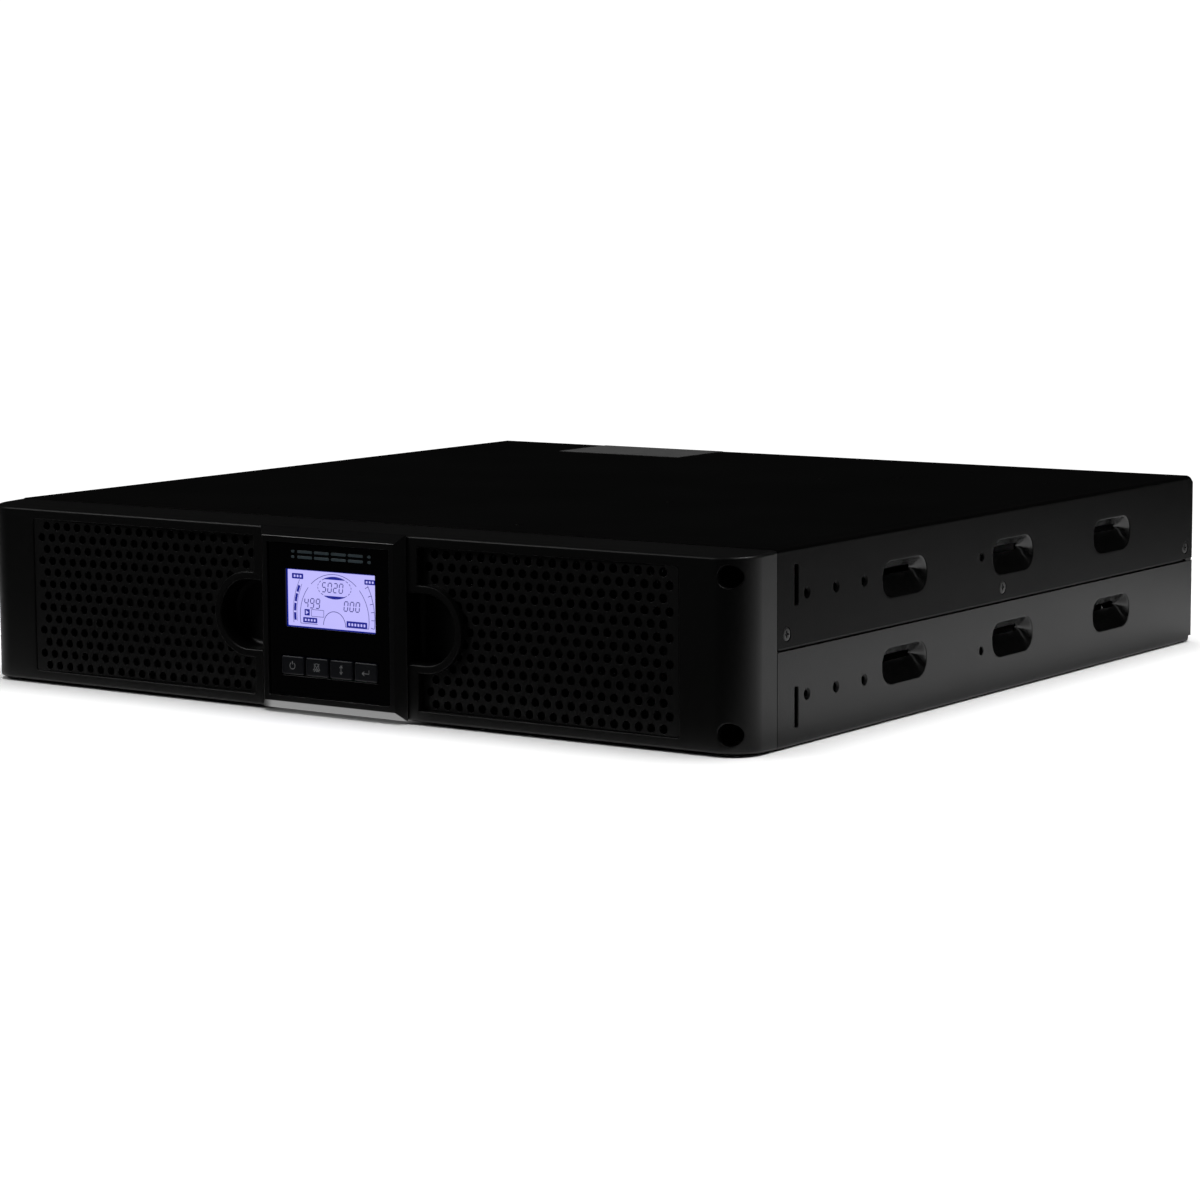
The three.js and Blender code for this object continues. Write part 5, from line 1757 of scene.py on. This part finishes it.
@dataclass
class Drawing:
    """Lines and shapes that stand out a little from a flat face.

    Args:
        shell: The shell that they are added to.
        place: The face's plane.
        strip: How far they stand out.
    """

    shell: Shell
    place: Plane
    strip: float = 0.06

    def stroke(self, path: Array, width: float, look: int, closed: bool = False) -> None:
        """Draws a line. Each of its points gives two, half the width to either side across the path.

        Args:
            path: The line's points.
            width: Its width.
            look: Its look.
            closed: Whether it comes back to its start.
        """
        if closed:
            path = np.concatenate([path, path[:1]])
        run = np.gradient(path, axis=0)
        if closed:
            run[0] = run[-1] = path[1] - path[-2]
        run /= np.linalg.norm(run, axis=1, keepdims=True)
        across = np.stack([-run[:, 1], run[:, 0]], axis=1) * width / 2
        rows = []
        for side, depth in ((-1, 0.0), (-1, -self.strip), (1, -self.strip), (1, 0.0)):
            p = path + side * across
            rows.append(self.place(p[:, 0], p[:, 1], np.full(len(p), depth)))
        rows = np.stack([*rows, rows[0]]).transpose(1, 0, 2)
        self.shell.grid(rows, wrap=False, look=look)
        if not closed:
            for end in (rows[0, :4], rows[-1, :4]):
                self.shell.add(end, np.array([[0, 1, 2], [0, 2, 3]]), look)

    def arcs(self, arcs: Sequence[ScreenArc]) -> None:
        """Draws arcs, each in its own width and ink."""
        for arc in arcs:
            self.stroke(arc.points(), arc.width, arc.ink)

    def shape(self, shape: Outline, holes: Sequence[Outline] = ()) -> None:
        """Draws a dark shape.

        Args:
            shape: Its outline.
            holes: The holes in it.
        """
        for edge in (*holes, shape):
            self.shell.sweep(edge, self.place, [(0, 0), (0, -self.strip)], Ink.DARK)
        loops = [shape.points, *[hole.points for hole in holes]]
        self.shell.fill(loops, self.place, -self.strip, look=Ink.DARK)

    def digits(self, text: Sequence[int], u: float, v: float, size: float) -> None:
        """Draws slanting seven-bar digits.

        Args:
            text: The digits.
            u: Where the first one's middle is.
            v: Their middle's height.
            size: Their height.
        """
        half, wide = size / 2, size * 0.24
        for i, digit in enumerate(text):
            at = u + i * size * 0.78
            for word in DIGIT[digit].split():
                ends = np.array(Bar[word].value, dtype=float)
                across = at + ends[:, 0] * wide + ends[:, 1] * half * 0.12
                line = np.stack([across, v + ends[:, 1] * half], axis=1)
                middle, reach = line.mean(axis=0), line - line.mean(axis=0)
                self.stroke(middle + reach * 0.76, size * 0.11, Ink.FAINT)

    def plate(self, u: float, v: float, wide: float, high: float) -> None:
        """Draws a blank label plate: a dark bar with a row of small light marks cut through it.

        Args:
            u: Its middle across.
            v: Its middle's height.
            wide: Its width.
            high: Its height.
        """
        count = int(wide / 1.9)
        spots = u + (np.arange(count) - (count - 1) / 2) * 1.75
        marks = [rounded(spot, v, 1.05, high * 0.42, 0.2, 2) for spot in spots]
        self.shape(rounded(u, v, wide, high, 0.3, 2), marks)

    def scales(self) -> None:
        """Draws the scales at both sides and the dial between them."""
        self.arcs((*LEFT_SCALE, RIGHT_SCALE))
        middle = np.array([RIGHT_SCALE.u, RIGHT_SCALE.v])
        for angle in RIGHT_TICKS:
            t = math.radians(angle)
            self.stroke(middle + np.outer([29.2, 31.0], [math.cos(t), math.sin(t)]), 0.3, Ink.FAINT)
        self.arcs(DIAL)
        for a, b in HORIZON:
            self.stroke(np.array([[a, -11.5], [b, -11.5]]), 0.24, Ink.FAINT)
        self.arcs(DASHES)

    def lenses(self) -> None:
        """Draws a lens above and one below the first number.

        With t from -1 to 1, a lens lies between the middle's height plus 3.75, and 3.9 plus 1.25
        times (1 - t t).
        """
        t = np.linspace(-1, 1, 15)
        for sign in (1, -1):
            outer = np.stack([1.6 + 6.3 * t, 5.8 + sign * (3.9 + 1.25 * (1 - t * t))], axis=1)
            inner = np.stack([1.6 + 6.3 * t[1:-1], 5.8 + sign * (3.75 + 0 * t[1:-1])], axis=1)
            self.shape(polygon(np.concatenate([outer, inner[::-1]])[:: -sign]))


@dataclass
class Display:
    """The square display: its frame and barrel, pane, lit screen and four keys."""

    base: float = 42.0
    face: float = 38.0
    opening: float = 35.3
    back_y: float = -28.1
    front_y: float = -32.7
    pane_y: float = -31.7
    barrel: float = 36.5
    inner: float = 32.0
    rear_y: float = -3.0
    foot: float = 0.5
    seat: float = 0.8
    groove: float = 34.5
    groove_from: float = 6.6
    groove_to: float = 2.0
    pane_half: float = 35.0
    pane_thick: float = 1.2
    window: tuple[float, float] = (52.0, 26.6)
    window_at: tuple[float, float] = (0.6, 10.0)
    key_size: tuple[float, float] = (13.0, 8.4)
    key_pitch: float = 14.2
    key_down: float = 21.0
    key_y: float = -32.4
    key_deep: float = 2.5
    key_in: float = 0.75
    stem: float = 2.0
    stem_v: float = 1.5
    stem_edge: float = 0.3

    def front(self, y: float) -> Plane:
        """Returns the plane through the display's middle at a distance y."""
        return front_plane(0, y, MID_Z)

    def build_frame(self) -> None:
        """Builds the frame with its slanting sides, its recess and the barrel behind it."""
        shell = Shell()
        place = self.front(self.front_y)
        a = self.face
        square = polygon([(-a, -a), (a, -a), (a, a), (-a, a)])
        back, seat = self.back_y - self.front_y, self.back_y - self.seat - self.front_y
        slant = self.base - self.face
        rim = self.opening - self.face
        side = [(slant, back), (slant, back - self.foot), (0, 0), (rim, 0), (rim, seat)]
        shell.sweep(square, place, side)
        bore, drum = circle(0, 0, self.inner, 64), circle(0, 0, self.barrel, 64)
        end = self.rear_y - self.front_y
        shell.fill([square.grown(rim).points, bore.points], place, seat)
        cut, start, stop = self.groove - self.barrel, end - self.groove_from, end - self.groove_to
        ring = [(0, back), (0, start), (cut, start), (cut, stop), (0, stop), (0, end)]
        shell.sweep(drum, place, ring)
        shell.fill([drum.points, bore.points], place, end)
        shell.sweep(bore, place, [(0, seat), (0, end)])
        shell.fill([square.grown(slant).points, drum.points], place, back)
        made = shell.finish("display_frame_shell", [Look.FRAME.material], sharp=25, bevel=0.15)
        stands_for(made, "display", ["display_frame"])

    def build_pane(self) -> None:
        """Builds the gloss pane with its window, its key slot and a plain badge."""
        shell = Shell()
        place = self.front(self.pane_y)
        row = 3 * self.key_pitch + self.key_size[0]
        holes = [
            rounded(*self.window_at, *self.window, 0.4, 3),
            rounded(0, -self.key_down, row + 1.2, self.key_size[1] + 1.2, 0.8, 3),
        ]
        pane = rounded(0, 0, 2 * self.pane_half, 2 * self.pane_half, 0.5)
        shell.plate(pane, holes, place, self.pane_thick, 0.15)
        badge = self.front(self.pane_y - 0.12)
        for u, wide in BADGE_BARS:
            for v in BADGE_ROWS:
                shell.plate(rounded(u, v, wide, 1.3, 0.6, 4), [], badge, 0.3, 0.08, look=1)
        made = shell.finish("display_pane", [Look.GLOSS.material, Look.BADGE.material])
        stands_for(made, "display", ["display_glass"])

    def build_screen(self) -> None:
        """Builds the lit screen with its scales, dashes, digits and blank label plates."""
        shell = Shell()
        y = self.pane_y + self.pane_thick + 0.3
        u0, v0 = self.window_at
        w, h = self.window
        face = self.front(y)
        lit = rounded(u0, v0, w - 0.9, h - 0.9, 0.4, 3)
        whole = rounded(0, v0, 54, 29, 0.5, 3)
        shell.fill([lit.points], face)
        shell.sweep(lit, face, [(0, 0), (0.02, 0)])
        shell.fill([whole.grown(-0.2).points, lit.grown(0.02).points], face, look=Ink.RIM)
        shell.sweep(whole, face, [(-0.2, 0), (0, 0.2), (0, 1.0)], look=Ink.RIM)
        shell.fill([whole.points], face, 1.0, look=Ink.RIM)
        drawn = Drawing(shell, front_plane(u0, y, MID_Z + v0))
        drawn.scales()
        drawn.lenses()
        drawn.arcs([HUB])
        for text, u, v, size in NUMBERS:
            drawn.digits(text, u, v, size)
        for u, v, wide, high in PLATES:
            drawn.plate(u, v, wide, high)
        drawn.stroke(rounded(-8.4, -6.4, 7.2, 3.1, 0.2, 2).points, 0.22, Ink.FAINT, True)
        arrow = polygon([(-15.3, -7.3), (-13.6, -6.3), (-15.3, -5.3)])
        drawn.shape(rounded(-14.5, -6.3, 3.0, 2.9, 0.2, 2), [arrow])
        looks = (Look.SCREEN, Look.INK, Look.FAINT_INK, Look.SCREEN_EDGE)
        made = shell.finish("lit_screen_panel", [k.material for k in looks])
        stands_for(made, "display", ["lcd_panel"])

    def build_keys(self) -> None:
        """Builds the four keys with their raised marks, each with its stem."""
        marks = (self._power_mark, self._mute_mark, self._scroll_mark, self._enter_mark)
        cap = rounded(0, 0, *self.key_size, 0.9, 4)
        rim = [(-self.key_in, 0), (-0.35, 0.08), (-0.1, 0.28), (0, 0.6), (0, self.key_deep)]
        for i, (word, mark) in enumerate(zip(("power", "mute", "scroll", "enter"), marks)):
            shell = Shell()
            x = (i - 1.5) * self.key_pitch
            place = front_plane(x, self.key_y, MID_Z - self.key_down)
            shell.sweep(cap, place, rim)
            shell.fill([cap.grown(-self.key_in).points], place)
            shell.fill([cap.points], place, self.key_deep)
            end = (Vector(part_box(f"button_{word}")[1]) / MM).y - DATUM_Y - self.key_y
            stem = circle(self._stem_x(i) - x, self.stem_v, self.stem, 16)
            root, edge = self.key_deep - 0.1, self.stem_edge
            shell.sweep(stem, place, [(0, root), (0, end - edge), (-edge, end)])
            shell.fill([stem.points], place, root)
            shell.fill([stem.grown(-edge).points], place, end)
            drawn = Drawing(shell, place)
            for points, width in mark():
                drawn.stroke(points, width, 1)
            made = shell.finish(f"key_{word}_cap", [Look.KEY.material, Look.KEY_MARK.material])
            stands_for(made, f"key_{word}", [f"button_{word}"])

    def _stem_x(self, i: int) -> float:
        """Returns where a key's stem stands, drawn in as far as the barrel's bore needs."""
        span = math.sqrt((self.inner - 1) ** 2 - (self.key_down + self.stem_v) ** 2) - 3.0
        return (i - 1.5) * self.key_pitch * min(1.0, span / (1.5 * self.key_pitch))

    def _power_mark(self) -> list[tuple[Array, float]]:
        """Returns a broken ring with a bar in its gap."""
        ring = ScreenArc(0, -0.2, 1.5, 125, 415, 0.36)
        return [(ring.points(), ring.width), (np.array([[0, 0.3], [0, 2.0]]), ring.width)]

    def _mute_mark(self) -> list[tuple[Array, float]]:
        """Draws a bell with a cross over it.

        Returns:
            Its lines, each with its width.
        """
        thin = 0.3
        dome = ScreenArc(0, 0.5, 1.25, 180, 0, thin).points()
        bell = np.concatenate([[[-1.9, -1.1], [-1.3, -0.5]], dome, [[1.3, -0.5], [1.9, -1.1]]])
        lines = [(bell, thin), (np.array([[-2.0, -1.15], [2.0, -1.15]]), 0.34)]
        for left, right in ((-2.0, 1.7), (1.7, -2.0)):
            lines.append((np.array([[-1.5, left], [1.5, right]]), thin))
        return lines + [(ScreenArc(0, -1.4, 0.45, 180, 360, thin).points(), thin)]

    def _scroll_mark(self) -> list[tuple[Array, float]]:
        """Returns a double arrow up and down."""
        heads = [np.array([[-0.75, s * 0.9], [0, s * 2.0], [0.75, s * 0.9]]) for s in (1, -1)]
        return [(np.array([[0, -1.7], [0, 1.7]]), 0.36)] + [(h, 0.42) for h in heads]

    def _enter_mark(self) -> list[tuple[Array, float]]:
        """Returns an arrow that comes down and goes left."""
        bend = np.array([[1.9, 1.1], [1.9, -0.6], [-1.7, -0.6]])
        return [(bend, 0.4), (np.array([[-0.8, 0.35], [-2.0, -0.6], [-0.8, -1.55]]), 0.42)]

    def build(self) -> None:
        """Builds every piece of the display."""
        self.build_frame()
        self.build_pane()
        self.build_screen()
        self.build_keys()


# ------------------------------------------------------------------ studio


WHITE = (0.92, 0.92, 0.92, 1)
HALF_UNIT = 0.22  # the unit's half width, and half its depth, in metres


def _ramp(tree: bpy.types.NodeTree, value: object, start: float, over: float) -> bpy.types.NodeSocket:
    """Returns how far a value is past its start, rising from 0 to 1 over a distance."""
    return _math(tree, "DIVIDE", _math(tree, "SUBTRACT", value, start), over, True)


def _fall(tree: bpy.types.NodeTree, value: object, end: float, over: float) -> bpy.types.NodeSocket:
    """Returns how far a value is short of its end, falling from 1 to 0 over a distance."""
    return _math(tree, "DIVIDE", _math(tree, "SUBTRACT", end, value), over, True)


@dataclass(frozen=True)
class Lamp:
    """A round soft lamp that looks at the unit.

    Args:
        name: Its name.
        at: Where it hangs, in metres.
        size: Its width in metres.
        power: Its power in watts.
        shines: Whether it shows in gloss.
        lights: Whether it lights what is dull.
    """

    name: str
    at: tuple[float, float, float]
    size: float
    power: float
    shines: bool = True
    lights: bool = True

    def build(self) -> None:
        """Hangs the lamp."""
        data = bpy.data.lights.new(self.name, "AREA")
        data.shape, data.size, data.energy = "DISK", self.size, self.power
        made = bpy.data.objects.new(self.name, data)
        made.location, made.visible_glossy, made.visible_diffuse = self.at, self.shines, self.lights
        made.rotation_euler = (-Vector(self.at)).to_track_quat("-Z", "Y").to_euler()
        bpy.context.scene.collection.objects.link(made)


@dataclass
class Studio:
    """The room: a wide white floor, a bright background, soft lamps and the camera.

    Args:
        eye: Where the camera stands.
        aim: What it looks at.
        roll: Its turn about its own axis, in degrees.
        lens: Its focal length.
        near: How far round the unit the floor stays bright to reflections, in metres.
        bright_to: Where the bright floor beside and behind the unit ends, in metres.
        fall: Over how far it falls off, in metres.
        bright_front: How far in front of the unit's middle it starts, in metres.
        dim: The floor's grey elsewhere, to reflections.
        glow_strip: Half the width of the strip under the display that glows to reflections alone, a
            painted highlight on the display frame's lower slant, in metres.
        glow_strip_strength: How strongly that strip glows.
        lamps: The lamps.
    """

    eye: tuple[float, float, float] = (1004.6, -1453.75, 254.2)
    aim: tuple[float, float, float] = (0.0, -5.55, 30.5)
    roll: float = -0.33
    lens: float = 106.0
    near: float = 0.014
    bright_to: float = 0.76
    fall: float = 0.42
    bright_front: float = 0.3
    dim: float = 0.025
    # a strip under the display that glows to reflections alone: a painted highlight on the display
    # frame's lower slant
    glow_strip: float = 0.042
    glow_strip_strength: float = 2.0
    lamps: tuple[Lamp, ...] = (
        Lamp("lamp_over", (0.2, 0.1, 2.4), 2.6, 100.0, shines=False),
        Lamp("lamp_right", (2.6, 0.9, 0.9), 1.2, 1.5),
        Lamp("lamp_edge", (-1.15, -1.24, 1.08), 0.4, 5.0),
        Lamp("lamp_spark", (0.95, -0.02, 1.8), 0.3, 14.0, lights=False),
    )

    def build_camera(self) -> None:
        """Sets the camera at the eye, turned to the aim and rolled a little."""
        data = bpy.data.cameras.new("camera")
        data.lens, data.sensor_width = self.lens, 36.0
        data.clip_start, data.clip_end = 0.05, 60.0
        made = bpy.data.objects.new("camera", data)
        bpy.context.scene.collection.objects.link(made)
        eye, aim = Vector(self.eye) * MM, Vector(self.aim) * MM
        turn = (aim - eye).to_track_quat("-Z", "Y").to_matrix()
        turn = turn @ Matrix.Rotation(math.radians(self.roll), 3, "Z")
        made.matrix_world = Matrix.Translation(eye) @ turn.to_4x4()
        bpy.context.scene.camera = made

    def build_floor(self) -> None:
        """Lays a floor 8 m wide, a little below the unit."""
        mesh = bpy.data.meshes.new("studio_floor")
        t = np.linspace(-4.0, 4.0, 9)
        at = np.stack(np.meshgrid(t, t), axis=-1).reshape(-1, 2)
        points = np.concatenate([at, np.full((len(at), 1), -0.0002)], axis=1)
        k = np.arange(81).reshape(9, 9)
        quads = np.stack([k[:-1, :-1], k[:-1, 1:], k[1:, 1:], k[1:, :-1]], axis=-1).reshape(-1, 4)
        mesh.from_pydata(points.tolist(), [], quads.tolist())
        made = bpy.data.objects.new("studio_floor", mesh)
        bpy.context.scene.collection.objects.link(made)
        mesh.materials.append(self.floor_paint())
        made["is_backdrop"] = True

    def floor_paint(self) -> bpy.types.Material:
        """Paints the floor: white to the eye, and mostly dim to reflections.

        To reflections it is bright close round the unit, and in a patch to either side of it and
        behind it that falls off outwards. Farther off than 0.3 m it turns into the background's own
        white to the eye. A narrow strip under the display glows to reflections alone: a painted
        highlight on the display frame's lower slant.

        Returns:
            The material.
        """
        paint = bpy.data.materials.new("studio_floor")
        paint.use_nodes = True
        tree = paint.node_tree
        tree.nodes.clear()
        out = tree.nodes.new("ShaderNodeOutputMaterial")
        diffuse = tree.nodes.new("ShaderNodeBsdfDiffuse")
        where = tree.nodes.new("ShaderNodeTexCoord")
        parts = tree.nodes.new("ShaderNodeSeparateXYZ")
        tree.links.new(where.outputs["Object"], parts.inputs[0])
        y = parts.outputs[1]
        aside = _math(tree, "ABSOLUTE", parts.outputs[0])
        past = [_math(tree, "SUBTRACT", d, HALF_UNIT) for d in (aside, _math(tree, "ABSOLUTE", y))]
        squares = [_math(tree, "POWER", _math(tree, "MAXIMUM", d, 0.0), 2.0) for d in past]
        away = _math(tree, "SQRT", _math(tree, "ADD", *squares))
        near = _math(tree, "SUBTRACT", 1.0, _math(tree, "DIVIDE", away, self.near), True)
        out_by = _math(tree, "ADD", aside, _math(tree, "MULTIPLY", y, 0.25))
        fading = _math(tree, "POWER", _fall(tree, out_by, self.bright_to, self.fall), 1.7)
        from_front = _ramp(tree, y, -self.bright_front, 0.2)
        fading = _math(tree, "MULTIPLY", fading, from_front)
        beside = _math(tree, "MULTIPLY", _ramp(tree, aside, 0.2, 0.06), fading)
        fading = _fall(tree, y, self.bright_to, self.fall)
        behind = _math(tree, "MULTIPLY", _ramp(tree, y, 0.2, 0.06), fading)
        share = _math(tree, "MAXIMUM", near, _math(tree, "MAXIMUM", beside, behind))
        sight = tree.nodes.new("ShaderNodeLightPath").outputs["Is Camera Ray"]
        shade = _mix(tree, share, (*grey(self.dim), 1), WHITE)
        tree.links.new(_mix(tree, sight, shade, WHITE), diffuse.inputs["Color"])
        # painted highlight: a strip under the display glows to reflections alone, so the display frame's
        # lower slant shows bright in gloss
        under = _math(tree, "SUBTRACT", 1.0, _math(tree, "DIVIDE", aside, self.glow_strip), True)
        under = _math(tree, "MULTIPLY", _math(tree, "MULTIPLY", under, 12.0, True), near)
        to_gloss = _math(tree, "MULTIPLY", under, _math(tree, "SUBTRACT", 1.0, sight))
        to_eye = _math(tree, "MULTIPLY", _ramp(tree, away, 0.3, 0.3), sight)
        lit = diffuse.outputs[0]
        for weight, strength in ((to_eye, 1.1), (to_gloss, self.glow_strip_strength)):
            glow = tree.nodes.new("ShaderNodeEmission")
            glow.inputs["Strength"].default_value = strength
            mixed = tree.nodes.new("ShaderNodeMixShader")
            for source, spot in zip((weight, lit, glow.outputs[0]), mixed.inputs):
                tree.links.new(source, spot)
            lit = mixed.outputs[0]
        tree.links.new(lit, out.inputs["Surface"])
        return paint

    def build_world(self) -> None:
        """Makes the background white to the eye and nearly black to reflections."""
        world = bpy.data.worlds.new("studio")
        world.use_nodes = True
        tree = world.node_tree
        sight = tree.nodes.new("ShaderNodeLightPath").outputs["Is Camera Ray"]
        sky = _mix(tree, sight, (*grey(0.003), 1), (*grey(1.1), 1))
        tree.links.new(sky, tree.nodes["Background"].inputs["Color"])
        bpy.context.scene.world = world

    def build(self) -> None:
        """Builds the whole studio."""
        self.build_world()
        self.build_floor()
        for lamp in self.lamps:
            lamp.build()
        self.build_camera()
        bpy.context.scene.view_settings.view_transform = "Standard"


# ------------------------------------------------------------------ pieces that keep their CAD shapes


@dataclass(frozen=True)
class BatteryBay:
    """The front panel, and what lies behind it: battery box, batteries, leads and dividing wall."""

    batteries: int = 4

    def build(self) -> None:
        """Dresses the bay's pieces."""
        # painted shade: the near-black front panel and battery door stand in for the shade behind the
        # grille
        dress(["front_panel", "battery_door"], Look.PANEL)
        dress(["battery_box", "bay_divider"], Look.BARE)
        dress([f"battery_{i + 1}" for i in range(self.batteries)], Look.CASE)
        links = [f"battery_link_{word}" for word in ("front", "middle", "rear")]
        dress([*links, "battery_lead_red"], Look.RED)
        dress(["battery_lead_black"], Look.BLACK_CABLE)


@dataclass(frozen=True)
class PowerStage:
    """The boards with their heatsinks, capacitors and wound parts."""

    boards: tuple[str, ...] = ("main_board", "control_board", "display_board")
    wound: tuple[str, ...] = ("charger_transformer", "boost_inductor", "output_inductor")

    def build(self) -> None:
        """Dresses the stage's pieces."""
        dress(self.boards, Look.BOARD)
        dress(["heatsink_inner", "heatsink_outer"], Look.ALUMINIUM)
        dress(["bus_capacitor_1", "bus_capacitor_2"], Look.SLEEVE)
        dress(self.wound, Look.COPPER)


@dataclass(frozen=True)
class RearSide:
    """The rear panel with its fans and sockets, the display's ring and the lid's label."""

    sides: tuple[str, ...] = ("inner", "outer")
    black: tuple[str, ...] = (
        "outlet_bank_lower",
        "outlet_bank_upper",
        "mains_inlet",
        "breaker",
        "breaker_button",
        "network_ports",
        "display_ring",
    )

    def build(self) -> None:
        """Dresses the rear's pieces."""
        fans = [f"fan_{part}_{side}" for part in ("frame", "rotor") for side in self.sides]
        dress([*fans, *self.black], Look.BLACK)
        dress(["serial_port", "usb_port"], Look.BARE)
        dress(["epo_terminal"], Look.GREEN)
        dress(["rear_panel", "slot_cover"], Look.STEEL)
        dress(["rating_label"], Look.LABEL)


def write_sizes() -> None:
    """Works out the CAD model's box and the visual model's box as plain numbers."""
    boxes = [[list(map(float, corner)) for corner in box] for box in (BOX_OF_CAD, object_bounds())]


def main() -> None:
    """Builds the studio and the unit's sub-assemblies in order."""
    logging.basicConfig(level=logging.INFO, format="%(name)s: %(message)s")
    bezel = Bezel()
    for part in (
        Studio(),
        BatteryBay(),
        PowerStage(),
        RearSide(),
        SteelHalf("top_cover", lid=True, edge_z=43.6, vent_z=63.6, hole_z=65.8, slot_z=70.1),
        SteelHalf("base_chassis", lid=False, edge_z=42.4, vent_z=24.5, hole_z=21.7, slot_z=17.1),
        CoverScrews(),
        FanGuard(),
        bezel,
        Grille(bezel),
        Display(),
    ):
        LOG.info("%s", type(part).__name__)
        part.build()
    write_sizes()


if __name__ == "__main__":
    main()
